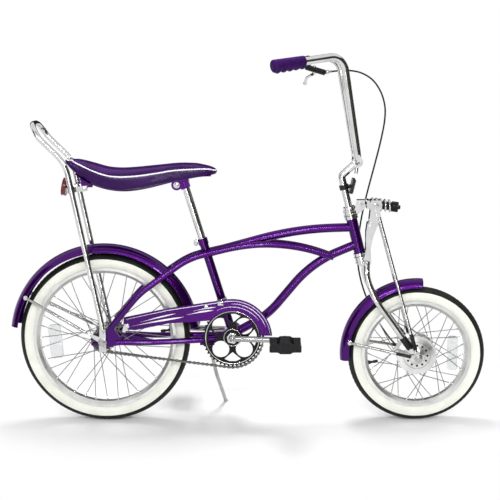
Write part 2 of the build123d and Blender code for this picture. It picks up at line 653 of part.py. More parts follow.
def make_fork():
    """The rigid fork that rocks on the crown's bolt: yoke plates, column, spring ears and blades."""
    side_plate = [(755, 457), (768, 455), (776, 470), (774, 513), (781, 546), (792, 576), (792, 586),
                  (765, 586), (761, 560), (761, 513), (755, 482)]
    web = [(768, 488), (774, 488), (774, 513), (781, 546), (792, 578), (786, 581), (776, 549), (768, 515)]
    fork = plate(web, -20, 20)
    fork += across((778, 580), -28, 28, 7)
    for side in (-1, 1):
        fork += plate(side_plate, *sorted((side * 19, side * 24)))
        fork += plate([(768, 578), (795, 578), (798, 630), (774, 630)], *sorted((side * 20, side * 24)))
        fork += plate([(772, 624), (802, 624), (806, 640), (800, 652), (774, 652), (768, 640)],
                      *sorted((side * 21, side * 25)))
        path = [(763, side * 27, 474), (761, side * 44, 430), (788, side * 50, 366),
                (front_axle[0] - 21.5, side * 53, front_axle[1] + 25)]
        fork += bent_rod(path, [90, 200], fork_blade_radius)
        low, high = sorted((side * 51, side * 55.6))
        fork += plate(from_axle(front_axle, [(-37, 25.5), (-23, 38.5), (5, 9.5), (8, -2.5), (0, -10.5), (-9, -7.5)]),
                      low, high)
    fork += plate([(762, 628), (770, 628), (770, 652), (762, 652)], -25, 25)
    fork += across(fork_pivot, -bolt_y, bolt_y, 4)
    fork += across(fork_pivot, -bolt_y - 4, -24, 8) + across(fork_pivot, 24, bolt_y + 4, 8)
    fork -= rod(spring_start - spring_way * 30, spring_start, 4.4)
    return fork - across(front_axle, -90, 90, axle_radius + 0.1)


nodes["springer_fork"] = make_fork()


def make_truss_rods():
    rods = []
    for side in (-1, 1):
        low, high = sorted((side * 25.3, side * 29.3))
        body = plate([(782, 646), (794, 646), (804, 600), (792, 598)], low, high)
        body += rod((797, side * 29, 604), (front_axle[0] - 7, side * 61.4, front_axle[1] + 17.5), truss_rod_radius)
        low, high = sorted((side * 55.8, side * 61))
        body += plate(from_axle(front_axle, [(-13, 20.5), (-3, 22.5), (10, 4.5), (9, -6.5), (0, -11.5), (-9, -8.5)]),
                      low, high)
        rods.append((body - across(front_axle, -90, 90, axle_radius + 0.1)).solid())
    return Compound(children=rods)


nodes["truss_rods"] = make_truss_rods()
spring_bracket = sleeve(place(on_steerer(-26.8)), place(on_steerer(-22.2)), 19, steerer_radius + running_gap)
spring_bracket += plate([(724, 617), (740, 612), (757, 628), (757, 652), (734, 652), (730, 632)], -13, 13)
spring_bracket -= rod(place(on_steerer(-60)), place(on_steerer(-26.9)), 19.5)
spring_bracket -= rod(place(on_steerer(-22.1)), place(on_steerer(10)), 21)
spring_bracket -= rod(place(on_steerer(-60)), place(on_steerer(10)), steerer_radius + running_gap)
nodes["spring_bracket"] = spring_bracket
rod_start = spring_start - spring_way * 24
damper = rod(rod_start, spring_end + spring_way * 26, 4)
damper += rod(spring_start + spring_way, spring_end, 12)
damper += rod(spring_end + spring_way * 0.3, spring_end + spring_way * 19, 15)
damper += rod(spring_end + spring_way * 19, spring_end + spring_way * 25, 6)
nodes["spring_damper"] = damper - spring_bracket
coil = Helix(pitch=12.3, height=55, radius=16, center=spring_start + spring_way * 2.5, direction=spring_way)
nodes["coil_spring"] = sweep(Plane(origin=coil @ 0, z_dir=coil % 0) * Circle(2.9), path=coil, is_frenet=True)

# Stem, handlebar, grips, lever and cable
stem = bent_rod([place(on_steerer(25)), place(on_steerer(-127)), place((731, 757))], [15], quill_radius)
stem += across(bar_clamp, -20, 20, 15.5)
stem += rod((735, 0, 748), (732, 0, 727), 5.5)
nodes["stem"] = stem - across(bar_clamp, -40, 40, handlebar_radius + running_gap)

bar_end, bar_corner = (496, 216, 1032.5), (687, 95, 1060)
bar_low = (bar_clamp[0], 46, bar_clamp[1])


def mirrored(point, side):
    return Vector(point[0], side * point[1], point[2])


bar_path = [mirrored(p, -1) for p in (bar_end, bar_corner, bar_low)]
bar_path += [mirrored(p, 1) for p in (bar_low, bar_corner, bar_end)]
nodes["handlebar"] = bent_rod(bar_path, [50, 30, 30, 50], handlebar_radius)


def make_grip(side):
    """A moulded grip with finger ridges below and a closed end."""
    end, corner = mirrored(bar_end, side), mirrored(bar_corner, side)
    way = (corner - end).normalized()
    grip = rod(end - way * 4, end + way * 101, grip_radius)
    for i in range(5):
        middle = end + way * (10 + 20 * i) - Vector(0, 0, 5)
        grip += rod(middle - way * 4.5, middle + way * 4.5, grip_radius - 0.6)
    return grip - rod(end - way * seat_gap, end + way * 130, handlebar_radius + running_gap)


nodes["grip_left"] = make_grip(1)
nodes["grip_right"] = make_grip(-1)

left_way = (mirrored(bar_corner, 1) - mirrored(bar_end, 1)).normalized()
lever_clamp = mirrored(bar_end, 1) + left_way * 117
lever = rod(lever_clamp - left_way * 9, lever_clamp + left_way * 9, handlebar_radius + 4)
lever += rod(lever_clamp + Vector(0, 0, -18), lever_clamp + Vector(52, -31, -34), 8.5)
lever += rod(lever_clamp + Vector(52, -31, -34), lever_clamp + Vector(64, -37.5, -32), 5)
blade_start = lever_clamp + Vector(20, -6, -38)
lever += bent_rod([lever_clamp + Vector(26, -14, -26), blade_start, lever_clamp + Vector(2, 46, -50),
                   lever_clamp + Vector(-2, 84, -68)], [8, 60], 4)
lever -= rod(lever_clamp - left_way * 40, lever_clamp + left_way * 40, handlebar_radius + running_gap)
nodes["brake_lever"] = lever

cable_start = lever_clamp + Vector(64, -37.5, -32)
cable_start += Vector(1.4, -0.8, 0.2)
cable_route = [tuple(cable_start), (706, 109, 1020), (750, 99, 1014), (786, 86, 992), (809, 74, 956),
               (820, 62, 914), (818, 58, 872), (806, 54, 812), (790, 50, 750), (774, 47, 690), (759, 45, 630),
               (748, 47, 570), (742, 51, 510), (743, 55, 450), (756, 58, 390), (778, 60, 332), (806, 60, 278),
               (838, 54, 232), (868, 44.8, 200)]


def cord_bends(points):
    """The arc at each inner point, as large as its two runs allow."""
    bends = []
    for before, here, after in zip(points, points[1:], points[2:]):
        run_in, run_out = Vector(here) - Vector(before), Vector(after) - Vector(here)
        turn = radians(run_in.get_angle(run_out))
        bends.append(0.45 * min(run_in.length, run_out.length) / tan(turn / 2))
    return bends


cable_bends = cord_bends(cable_route)
nodes["brake_cable"] = bent_rod(cable_route, cable_bends, cable_radius)

# Front axle, brake plate, fender stays and reflector
front_stay_inner = 61.2
axle = across(front_axle, -76, 76, axle_radius)
for side in (-1, 1):
    axle += hexagon_nut(front_axle, side * 63.4, side * (63.4 + axle_nut_length), axle_nut_radius)
axle += across(front_axle, -50.8, -38.4, 9) + across(front_axle, 42.2, 50.8, 9)
nodes["front_axle"] = axle
nodes["front_fender_stays"] = make_stays(front_axle, front_fender_radius - front_fender_depth + 1, 169.0,
                                         front_fender_half_width, front_stay_inner, 24.0)
brake_plate = across(front_axle, 34.4, 38, 50)
brake_plate += plate(from_axle(front_axle, [(0, -10.5), (0, 10.5), (-39, 8.5), (-53, 1.5), (-51, -8.5)]), 38, 42)
nodes["front_brake_plate"] = brake_plate - across(front_axle, 20, 60, axle_radius + 0.1)
reflector = sleeve(place(on_steerer(-101)), place(on_steerer(-87)), quill_radius + 3, quill_radius + running_gap)
reflector += rod((708, 0, 690), (718, 0, 692), 5) + Pos(721, 0, 692) * Rot(0, 13.6, 0) * Box(8, 56, 42)
nodes["front_reflector"] = reflector - rod(place(on_steerer(-130)), place(on_steerer(-60)),
                                           quill_radius + running_gap)

# Lean onto the stand, bring both tyres to the floor and centre the whole
settle = tyre_section_radius * (1 - cos(radians(lean_angle)))
parked = Pos(0, 0, settle) * Rot(-lean_angle, 0, 0)
nodes = {name: parked * shape for name, shape in nodes.items()}
floor_cut = Pos(0, 0, -50) * Box(4000, 2000, 100)
nodes["kickstand"] = nodes["kickstand"] - floor_cut
lows, highs = zip(*[(box.min, box.max) for box in (shape.bounding_box() for shape in nodes.values())])
low = [min(getattr(v, axis) for v in lows) for axis in "XYZ"]
high = [max(getattr(v, axis) for v in highs) for axis in "XYZ"]
shift = Vector(-(low[0] + high[0]) / 2, -(low[1] + high[1]) / 2, -low[2])
print("size", [round(b - a, 1) for a, b in zip(low, high)], "shift", tuple(round(v, 3) for v in shift))
for name, shape in nodes.items():
    export_step(Pos(shift) * shape, f"parts/{name}.step")


def report_joint(name, point, way):
    """Print a joint's place in metres and its direction, as parked."""
    here = parked * Pos(*point) * Vertex(0, 0, 0)
    there = parked * Pos(*(Vector(*point) + Vector(*way).normalized())) * Vertex(0, 0, 0)
    centre = Vector(*here.center()) + shift
    axis = Vector(*there.center()) - Vector(*here.center())
    print("joint", name, [round(v / 1000, 6) for v in centre], [round(v, 6) for v in axis])


report_joint("rear_wheel_spin", (rear_axle[0], 0, rear_axle[1]), (0, 1, 0))
report_joint("front_wheel_spin", (front_axle[0], 0, front_axle[1]), (0, 1, 0))
report_joint("steering", (head_top[0], 0, head_top[1]), (-head_down[0], 0, -head_down[1]))
report_joint("crank_spin", (crank_centre[0], 0, crank_centre[1]), (0, 1, 0))
report_joint("pedal_right_spin", (crank_centre[0] + crank_length, -130, crank_centre[1]), (0, 1, 0))
report_joint("pedal_left_spin", (crank_centre[0] - crank_length, 130, crank_centre[1]), (0, 1, 0))
report_joint("kickstand_fold", stand_pivot, tuple(fold_axis))
report_joint("rear_axle_end", (rear_axle[0], -axle_half_length, rear_axle[1]), (0, 1, 0))
report_joint("rear_axle_end_left", (rear_axle[0], axle_half_length, rear_axle[1]), (0, 1, 0))
right_end, right_corner = mirrored(bar_end, -1), mirrored(bar_corner, -1)
right_way = (right_corner - right_end).normalized()
report_joint("bar_right", tuple(right_end + right_way * 129), tuple(right_way))
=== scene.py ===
"""Looks of the chopper bicycle: materials, saddle, tread, small parts, light and camera."""

import json
from math import asin, atan2, cos, degrees, hypot, pi, radians, sin, sqrt

import bmesh
import bpy
from mathutils import Matrix, Vector
from mathutils.bvhtree import BVHTree


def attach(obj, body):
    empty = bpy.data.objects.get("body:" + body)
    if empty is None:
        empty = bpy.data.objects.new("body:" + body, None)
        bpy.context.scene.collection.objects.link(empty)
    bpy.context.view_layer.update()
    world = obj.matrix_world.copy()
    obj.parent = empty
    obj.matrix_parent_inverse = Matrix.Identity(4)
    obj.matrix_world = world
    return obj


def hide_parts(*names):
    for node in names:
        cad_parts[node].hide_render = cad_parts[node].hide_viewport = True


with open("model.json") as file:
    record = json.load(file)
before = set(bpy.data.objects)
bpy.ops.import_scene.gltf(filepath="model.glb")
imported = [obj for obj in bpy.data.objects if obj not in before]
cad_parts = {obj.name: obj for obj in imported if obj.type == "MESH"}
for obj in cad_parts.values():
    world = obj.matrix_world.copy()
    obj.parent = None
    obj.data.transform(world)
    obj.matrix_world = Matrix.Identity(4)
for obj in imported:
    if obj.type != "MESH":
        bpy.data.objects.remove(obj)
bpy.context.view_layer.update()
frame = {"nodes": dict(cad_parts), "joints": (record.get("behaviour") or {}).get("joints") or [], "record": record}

# The upright drawing frame, in millimetres, and how it is parked
LEAN = radians(8.0)
TYRE_SECTION = 23.0
SETTLE = TYRE_SECTION * (1 - cos(LEAN))
rear_spin = next(joint["pos_m"] for joint in frame["joints"] if joint["name"] == "rear_wheel_spin")
REAR_RADIUS, FRONT_RADIUS = 249.0, 198.5
SHIFT = (rear_spin[0] * 1000, rear_spin[1] * 1000 - REAR_RADIUS * sin(LEAN), 0.0)
AXIS = Vector((0, cos(LEAN), -sin(LEAN)))          # the wheels' axles, as parked
REAR_AXLE = (0.0, 0.0, REAR_RADIUS)
FRONT_AXLE = (911.0, 0.0, FRONT_RADIUS)
CRANK = (375.0, 0.0, 257.0)
CRANK_LENGTH = 152.0
SEAT_TUBE_TOP = (288.0, 0.0, 541.0)
seat_way = (Vector(SEAT_TUBE_TOP) - Vector(CRANK)).normalized()


def parked(x, y, z):
    """A point of the upright frame in millimetres as a parked one in metres."""
    return Vector((x + SHIFT[0], y * cos(LEAN) + z * sin(LEAN) + SHIFT[1],
                   z * cos(LEAN) - y * sin(LEAN) + SETTLE + SHIFT[2])) / 1000


def turn(vector):
    """A direction of the upright frame as parked."""
    return Matrix.Rotation(-LEAN, 3, "X") @ Vector(vector)


# Materials
def set_inputs(node, **values):
    """Set a shader node's inputs by their names, with an underscore for a space."""
    for name, value in values.items():
        node.inputs[name.replace("_", " ")].default_value = value
    return node


def new_node(tree, kind, **values):
    """A new shader node of a kind, with some of its inputs set."""
    return set_inputs(tree.nodes.new("ShaderNode" + kind), **values)


def new_material(name, rgb, metallic=0.0, roughness=0.4, coat=0.0, coat_roughness=0.05, specular=0.5):
    """A material with its node tree and its main shader."""
    material = bpy.data.materials.new(name)
    material.use_nodes = True
    shader = material.node_tree.nodes["Principled BSDF"]
    set_inputs(shader, Base_Color=(*rgb, 1), Metallic=metallic, Roughness=roughness, Coat_Weight=coat,
               Coat_Roughness=coat_roughness, Specular_IOR_Level=specular)
    return material, material.node_tree, shader


def position(tree):
    """The node's own coordinates, which move with the piece."""
    return new_node(tree, "TexCoord").outputs["Object"]


def noise(tree, where, scale, detail=3.0):
    node = new_node(tree, "TexNoise", Scale=scale, Detail=detail, Roughness=0.55)
    tree.links.new(where, node.inputs["Vector"])
    return node.outputs["Fac"]


def cells(tree, where, scale):
    """Distance to the middle of the nearest small cell."""
    node = new_node(tree, "TexVoronoi", Scale=scale)
    tree.links.new(where, node.inputs["Vector"])
    return node.outputs["Distance"]


def remap(tree, value, low, high, to_low, to_high):
    node = new_node(tree, "MapRange", From_Min=low, From_Max=high, To_Min=to_low, To_Max=to_high)
    tree.links.new(value, node.inputs["Value"])
    return node.outputs["Result"]


def mix_colours(tree, factor, first, second):
    """Blend two colours, each an RGB triple or a socket."""
    node = new_node(tree, "Mix")
    node.data_type = "RGBA"
    for index, colour in ((6, first), (7, second)):
        if isinstance(colour, tuple):
            node.inputs[index].default_value = (*colour, 1)
        else:
            tree.links.new(colour, node.inputs[index])
    tree.links.new(factor, node.inputs[0])
    return node.outputs[2]


def tint(tree, shader, factor, first, second):
    """Colour the surface by a blend of two colours."""
    tree.links.new(mix_colours(tree, factor, first, second), shader.inputs["Base Color"])


def polish(tree, shader, patches, low, high):
    """Let the roughness wander between two values with a noise."""
    tree.links.new(remap(tree, patches, 0.3, 0.7, low, high), shader.inputs["Roughness"])


def bump(tree, shader, height, strength, distance=0.001):
    node = new_node(tree, "Bump", Strength=strength, Distance=distance)
    tree.links.new(height, node.inputs["Height"])
    tree.links.new(node.outputs["Normal"], shader.inputs["Normal"])


def maths(tree, kind, first, second=0.0):
    node = new_node(tree, "Math")
    node.operation = kind
    for index, value in enumerate((first, second)):
        if isinstance(value, (int, float)):
            node.inputs[index].default_value = value
        else:
            tree.links.new(value, node.inputs[index])
    return node.outputs[0]


def vector_maths(tree, kind, first, second=None):
    node = new_node(tree, "VectorMath")
    node.operation = kind
    for index, value in enumerate((first, second)):
        if isinstance(value, Vector):
            node.inputs[index].default_value = value
        elif value is not None:
            tree.links.new(value, node.inputs[index])
    return node.outputs["Value" if kind in ("DOT_PRODUCT", "LENGTH") else "Vector"]


def radius_about(tree, centre):
    """Distance in metres from an axle's line."""
    offset = vector_maths(tree, "SUBTRACT", position(tree), centre)
    sideways = maths(tree, "POWER", vector_maths(tree, "DOT_PRODUCT", offset, AXIS), 2.0)
    square = maths(tree, "POWER", vector_maths(tree, "LENGTH", offset), 2.0)
    return maths(tree, "SQRT", maths(tree, "SUBTRACT", square, sideways))


def paint(name, dark, light, flake=0.3, metallic=0.9, coat=0.32, specular=0.3):
    """Glossy metallic paint: fine flakes, faint orange peel and a clear coat."""
    material, tree, shader = new_material(name, dark, metallic, 0.3, coat, 0.03, specular)
    where = position(tree)
    sparkle = cells(tree, where, 2600)
    soft = noise(tree, where, 6.0, 2.0)
    shade = maths(tree, "ADD", maths(tree, "MULTIPLY", sparkle, flake), soft)
    blend = remap(tree, shade, 0.3, 1.1, 0.0, 1.0)
    tint(tree, shader, blend, dark, light)
    polish(tree, shader, noise(tree, where, 40.0), 0.22, 0.30)
    bump(tree, shader, noise(tree, where, 240.0, 2.0), 0.005, 0.0005)
    return material


def metal(name, rgb, low, high, scale=60.0, streak=0.02):
    """Bare or plated metal with faint smears and pits."""
    material, tree, shader = new_material(name, rgb, 1.0, low)
    where = position(tree)
    smear = noise(tree, where, scale, 4.0)
    tree.links.new(remap(tree, smear, 0.35, 0.7, low, high), shader.inputs["Roughness"])
    cloud = remap(tree, noise(tree, where, scale * 0.4), 0.3, 0.7, 0, 1)
    tint(tree, shader, cloud, rgb, tuple(c * 0.78 for c in rgb))
    bump(tree, shader, noise(tree, where, scale * 12, 3.0), streak, 0.0004)
    return material


def moulded(name, rgb, roughness, grain, strength, coat=0.0, specular=0.3):
    """Moulded rubber or plastic with a fine pebble grain."""
    material, tree, shader = new_material(name, rgb, 0.0, roughness, coat, 0.1, specular)
    where = position(tree)
    pebble = cells(tree, where, grain)
    dust = remap(tree, noise(tree, where, 30.0, 4.0), 0.35, 0.75, 0.0, 1.0)
    tint(tree, shader, dust, rgb, tuple(min(1, c * 1.7 + 0.002) for c in rgb))
    polish(tree, shader, noise(tree, where, 90.0), roughness * 0.85, min(1, roughness * 1.15))
    bump(tree, shader, pebble, strength, 0.0008)
    return material


RIB_STEP = 0.0026          # metres between the ribs of a tyre's wall


def tyre_material(name, axle, white_from, white_to):
    """Black rubber with a cream wall between two radii and moulded ribs on the side."""
    material, tree, shader = new_material(name, (0.009, 0.009, 0.009), 0.0, 0.6, specular=0.2)
    where = position(tree)
    radius = radius_about(tree, parked(*axle))
    inside = maths(tree, "LESS_THAN", radius, white_to)
    outside = maths(tree, "GREATER_THAN", radius, white_from)
    white = maths(tree, "MULTIPLY", inside, outside)
    grime = remap(tree, noise(tree, where, 22.0, 5.0), 0.35, 0.75, 0.0, 1.0)
    cream = mix_colours(tree, grime, (0.86, 0.87, 0.80), (0.76, 0.77, 0.69))
    black = mix_colours(tree, grime, (0.008, 0.008, 0.008), (0.02, 0.02, 0.019))
    tint(tree, shader, white, black, cream)
    ribs = maths(tree, "SINE", maths(tree, "MULTIPLY", radius, 2 * pi / RIB_STEP))
    fainter = maths(tree, "SUBTRACT", 1.0, maths(tree, "MULTIPLY", white, 0.75))
    ribs = maths(tree, "MULTIPLY", ribs, fainter)
    height = maths(tree, "ADD", maths(tree, "MULTIPLY", ribs, 0.4), noise(tree, where, 420.0, 3.0))
    bump(tree, shader, height, 0.25, 0.0006)
    return material


VIOLET_DARK, VIOLET_LIGHT = (0.045, 0.0003, 0.108), (0.076, 0.001, 0.168)
violet = paint("violet_paint_look", VIOLET_DARK, VIOLET_LIGHT)
black_gloss = paint("black_gloss_look", (0.004, 0.004, 0.004), (0.009, 0.009, 0.009), 0.2, 0.0, 0.08, 0.12)
chrome = metal("chrome_look", (0.76, 0.76, 0.76), 0.04, 0.10)
rim_plate = metal("rim_look", (0.80, 0.80, 0.79), 0.34, 0.46)
dark_steel = metal("dark_steel_look", (0.085, 0.083, 0.080), 0.25, 0.45, 90.0, 0.06)
steel = metal("steel_look", (0.50, 0.50, 0.51), 0.25, 0.45, 90.0, 0.06)
rubber = moulded("rubber_look", (0.009, 0.009, 0.010), 0.55, 900.0, 0.25, 0.0, 0.15)
cable_black = moulded("cable_look", (0.008, 0.008, 0.009), 0.35, 1500.0, 0.08, 0.1, 0.2)
vinyl = moulded("vinyl_look", (0.020, 0.0006, 0.052), 0.32, 1300.0, 0.12, 0.08, 0.14)
violet_rubber = moulded("violet_rubber_look", (0.022, 0.0008, 0.060), 0.5, 900.0, 0.25, 0.0, 0.14)
chain_steel = metal("chain_look", (0.17, 0.168, 0.162), 0.22, 0.4, 90.0, 0.06)
stay_plate = metal("stay_look", (0.46, 0.46, 0.45), 0.10, 0.2)
spoke_steel = metal("spoke_look", (0.27, 0.27, 0.27), 0.25, 0.45, 90.0, 0.06)
hub_plate = metal("hub_look", (0.84, 0.84, 0.83), 0.26, 0.38)
white_trim = moulded("white_trim_look", (0.80, 0.79, 0.82), 0.4, 1500.0, 0.05)
rear_rubber = tyre_material("rear_tyre_look", REAR_AXLE, 0.150, 0.2345)
front_rubber = tyre_material("front_tyre_look", FRONT_AXLE, 0.100, 0.1845)


def lens(name, rgb):
    """Clear moulded plastic over small prisms."""
    material, tree, shader = new_material(name, rgb, 0.0, 0.12, 0.2)
    where = position(tree)
    prism = cells(tree, where, 420.0)
    tint(tree, shader, prism, rgb, tuple(c * 0.7 for c in rgb))
    polish(tree, shader, noise(tree, where, 60.0), 0.08, 0.2)
    bump(tree, shader, prism, 0.4)
    return material


red_lens = lens("red_lens_look", (0.16, 0.004, 0.008))
clear_lens = lens("clear_lens_look", (0.97, 0.98, 0.99))
set_inputs(clear_lens.node_tree.nodes["Principled BSDF"], Transmission_Weight=0.9)

LOOKS = {
    "violet_paint": violet, "black_metal": black_gloss, "chrome": chrome, "steel": steel, "rubber": rubber,
    "saddle_vinyl": vinyl, "black_plastic": cable_black, "red_lens": red_lens, "clear_lens": clear_lens,
    "tyre_rubber": rear_rubber, "white_trim": white_trim,
}
BAR_END, BAR_CORNER = (496.0, 216.0, 1032.5), (687.0, 95.0, 1060.0)
LEVER = Vector(BAR_END) + (Vector(BAR_CORNER) - Vector(BAR_END)).normalized() * 117


def lever_material():
    """Black housing with a bright blade, which lies below and outside the bar."""
    material, tree, shader = new_material("lever_look", (0.006, 0.006, 0.006), 0.0, 0.3, 0.1, specular=0.2)
    offset = vector_maths(tree, "SUBTRACT", position(tree), parked(*LEVER))
    low = maths(tree, "LESS_THAN", vector_maths(tree, "DOT_PRODUCT", offset, turn((0, 0, 1))), -0.030)
    out = maths(tree, "GREATER_THAN", vector_maths(tree, "DOT_PRODUCT", offset, turn((0, 1, 0))), 0.002)
    blade = maths(tree, "MULTIPLY", low, out)
    grain = remap(tree, noise(tree, position(tree), 160.0), 0.3, 0.7, 0.0, 1.0)
    bright = mix_colours(tree, grain, (0.72, 0.72, 0.72), (0.60, 0.60, 0.60))
    dark = mix_colours(tree, grain, (0.006, 0.006, 0.006), (0.012, 0.012, 0.012))
    tint(tree, shader, blade, dark, bright)
    tree.links.new(blade, shader.inputs["Metallic"])
    bump(tree, shader, noise(tree, position(tree), 700.0, 3.0), 0.04, 0.0005)
    return material


OWN_LOOKS = {"front_tyre": front_rubber, "rear_rim": rim_plate, "front_rim": rim_plate,
             "rear_sprocket": dark_steel, "front_hub": hub_plate, "kickstand": stay_plate,
             "rear_spokes": spoke_steel, "front_spokes": spoke_steel, "crank_arms": stay_plate,
             "brake_lever": lever_material()}
slot_of = {part["node"]: part["material_slot"] for part in frame["record"]["subparts"]}
for name, node in frame["nodes"].items():
    node.data.materials.clear()
    node.data.materials.append(OWN_LOOKS.get(name, LOOKS[slot_of[name]]))


# Building pieces
def object_from(name, mesh_data, material):
    """Turn a bmesh into an object of the scene."""
    mesh = bpy.data.meshes.new(name)
    mesh_data.to_mesh(mesh)
    mesh_data.free()
    mesh.materials.append(material)
    piece = bpy.data.objects.new(name, mesh)
    bpy.context.scene.collection.objects.link(piece)
    return piece


def add_piece(name, mesh_data, body, material, smooth=True):
    """Make a piece from a closed bmesh, ride it on a body and give it its finish."""
    bmesh.ops.recalc_face_normals(mesh_data, faces=mesh_data.faces)
    piece = object_from(name, mesh_data, material)
    if smooth:
        piece.data.shade_smooth()
    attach(piece, body)
    return piece


def circle(centre, radius, normal, side, count):
    """Points evenly round a circle in the plane of two directions."""
    turns = [2 * pi * k / count for k in range(count)]
    return [centre + radius * (cos(t) * normal + sin(t) * side) for t in turns]


def skin(mesh_data, rings, closed=False):
    """Join rings of points, and cap both ends or join the last ring to the first."""
    count = len(rings[0])
    for ring, following in zip(rings, rings[1:] + (rings[:1] if closed else [])):
        for k in range(count):
            after = (k + 1) % count
            mesh_data.faces.new((ring[k], ring[after], following[after], following[k]))
    if not closed:
        mesh_data.faces.new(rings[0][::-1])
        mesh_data.faces.new(rings[-1])


def tube_along(mesh_data, points, radius, sides=8, closed=False):
    """A round tube through points in metres, with flat caps where it is open."""
    rings, count, normal = [], len(points), None
    for i, point in enumerate(points):
        before = points[i - 1] if i or closed else point
        after = points[(i + 1) % count] if i < count - 1 or closed else point
        way = (after - before).normalized()
        if normal is None:
            normal = way.orthogonal().normalized()
        normal = (normal - way * normal.dot(way)).normalized()
        side = way.cross(normal)
        rings.append([mesh_data.verts.new(p) for p in circle(point, radius, normal, side, sides)])
    skin(mesh_data, rings, closed)


def along(points, x):
    """Smooth value at x through a short list of (x, value) points."""
    if x <= points[0][0]:
        return points[0][1]
    if x >= points[-1][0]:
        return points[-1][1]
    i = max(k for k in range(len(points) - 1) if points[k][0] <= x)
    (x0, v0), (x1, v1) = points[i], points[i + 1]
    before, after = points[max(i - 1, 0)], points[min(i + 2, len(points) - 1)]
    slope_0 = (v1 - before[1]) / (x1 - before[0])
    slope_1 = (after[1] - v0) / (after[0] - x0)
    span, t = x1 - x0, (x - x0) / (x1 - x0)
    return ((2 * t ** 3 - 3 * t ** 2 + 1) * v0 + (t ** 3 - 2 * t ** 2 + t) * span * slope_0
            + (3 * t ** 2 - 2 * t ** 3) * v1 + (t ** 3 - t ** 2) * span * slope_1)


# Saddle, as (x, height) or (x, half width) down its length, upright and in millimetres
SADDLE_REAR, SADDLE_NOSE = -98.0, 334.0
SADDLE_CROWN = ((-98, 779), (-49, 767), (-14, 757), (21, 747), (70, 744), (167, 752), (223, 757), (272, 756),
                (315, 752), (334, 745))
SADDLE_SEAM = ((-98, 777), (-80, 771), (-55, 759), (-18, 743), (19, 731), (57, 726), (105, 728), (156, 734),
               (208, 742), (259, 745), (310, 745), (334, 740))
SADDLE_LOW = ((-98, 766), (-75, 741), (-33, 712), (8, 695), (52, 687), (76, 688), (138, 698), (207, 710),
              (320, 727), (334, 729))
SADDLE_WIDTH = ((-98, 38), (-85, 45), (-60, 47.5), (-20, 57), (20, 64), (70, 66), (120, 65), (200, 58.5),
                (270, 51), (305, 44), (326, 33), (334, 20))
SADDLE_STATIONS, SEAM_POINTS = 48, 72
SADDLE_VOXEL, SADDLE_SWELL = 0.0045, 0.0032


def saddle_station(share):
    """Distance down the saddle, closer together at both ends."""
    middle, half = (SADDLE_REAR + SADDLE_NOSE) / 2, (SADDLE_NOSE - SADDLE_REAR) / 2
    return middle - half * cos(pi * share)


def saddle_section(x):
    """One half of the cross-section as (y, z), from the middle of the top to the middle of the underside."""
    lines = (SADDLE_CROWN, SADDLE_SEAM, SADDLE_LOW, SADDLE_WIDTH)
    crown, seam, low, width = (along(line, x) for line in lines)
    crown = max(crown, seam + 2)
    points = [(width * sin(radians(a)), seam + (crown - seam) * cos(radians(a)) ** 0.7)
              for a in range(0, 90, 15)]
    points += [(width - 5 * t + 3.5 * sin(pi * t), seam + (low - seam) * t) for t in (0, 0.25, 0.5, 0.75, 1)]
    return points + [(width - 9, low + 0.6), (width * 0.5, low + 1.4), (0, low + 1.4)]


def seam_dent(point):
    """How far the seam pulls a point of the cover in, in millimetres."""
    distance = hypot(abs(point.y) - along(SADDLE_WIDTH, point.x), point.z - along(SADDLE_SEAM, point.x))
    return 1.4 * 2.718 ** -((distance / 5.0) ** 2)


def inflate(piece, pressure, frames, cap, hold):
    """Blow a closed cover up with cloth, moving each point by up to the cap where hold(point) is 1."""
    rest = [vertex.co.copy() for vertex in piece.data.vertices]
    cloth = piece.modifiers.new("Cloth", "CLOTH")
    cloth.settings.use_pressure = True
    cloth.settings.uniform_pressure_force = pressure
    cloth.settings.effector_weights.gravity = 0
    cloth.point_cache.frame_end = frames
    for step in range(1, frames + 1):
        bpy.context.scene.frame_set(step)
    swollen = piece.evaluated_get(bpy.context.evaluated_depsgraph_get()).data
    for vertex, start, end in zip(piece.data.vertices, rest, [v.co.copy() for v in swollen.vertices]):
        move = end - start
        vertex.co = start + move * (hold(start) * min(1, cap / max(move.length, 1e-9)))
    piece.modifiers.remove(cloth)
    bpy.context.scene.frame_set(1)


def applied(piece, kind, **settings):
    """Add a modifier and bake it into the mesh."""
    modifier = piece.modifiers.new(kind.title(), kind)
    for key, value in settings.items():
        setattr(modifier, key, value)
    baked = bpy.data.meshes.new_from_object(piece.evaluated_get(bpy.context.evaluated_depsgraph_get()))
    piece.modifiers.remove(modifier)
    piece.data = baked


def make_saddle():
    """The padded cover as its own closed form, then the piping along its seam."""
    shape = bmesh.new()
    rings = []
    for i in range(SADDLE_STATIONS + 1):
        x = saddle_station(i / SADDLE_STATIONS)
        half = saddle_section(x)
        ring = half + [(-y, z) for y, z in reversed(half[1:-1])]
        rings.append([shape.verts.new(Vector((x, y, z)) / 1000) for y, z in ring])
    skin(shape, rings)
    saddle = add_piece("saddle_cover", shape, "frame", vinyl)
    applied(saddle, "REMESH", mode="VOXEL", voxel_size=SADDLE_VOXEL, use_smooth_shade=True)
    inflate(saddle, 4.0, 20, SADDLE_SWELL,
            lambda p: max(0.0, min(1.0, (p.z * 1000 - along(SADDLE_LOW, p.x * 1000) - 3) / 14)))
    applied(saddle, "SMOOTH", factor=0.5, iterations=4)
    normals = [vertex.normal.copy() for vertex in saddle.data.vertices]
    for vertex, normal in zip(saddle.data.vertices, normals):
        vertex.co -= normal * seam_dent(vertex.co * 1000) / 1000
    applied(saddle, "SUBSURF", levels=1)
    saddle.data.shade_smooth()
    piping = piping_points(BVHTree.FromObject(saddle, bpy.context.evaluated_depsgraph_get()))
    for vertex in saddle.data.vertices:
        vertex.co = parked(*(vertex.co * 1000))
    saddle.data.update()
    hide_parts("saddle")
    shape = bmesh.new()
    tube_along(shape, [parked(*(point * 1000)) for point in piping], 0.0019, closed=True)
    add_piece("saddle_piping", shape, "frame", white_trim)


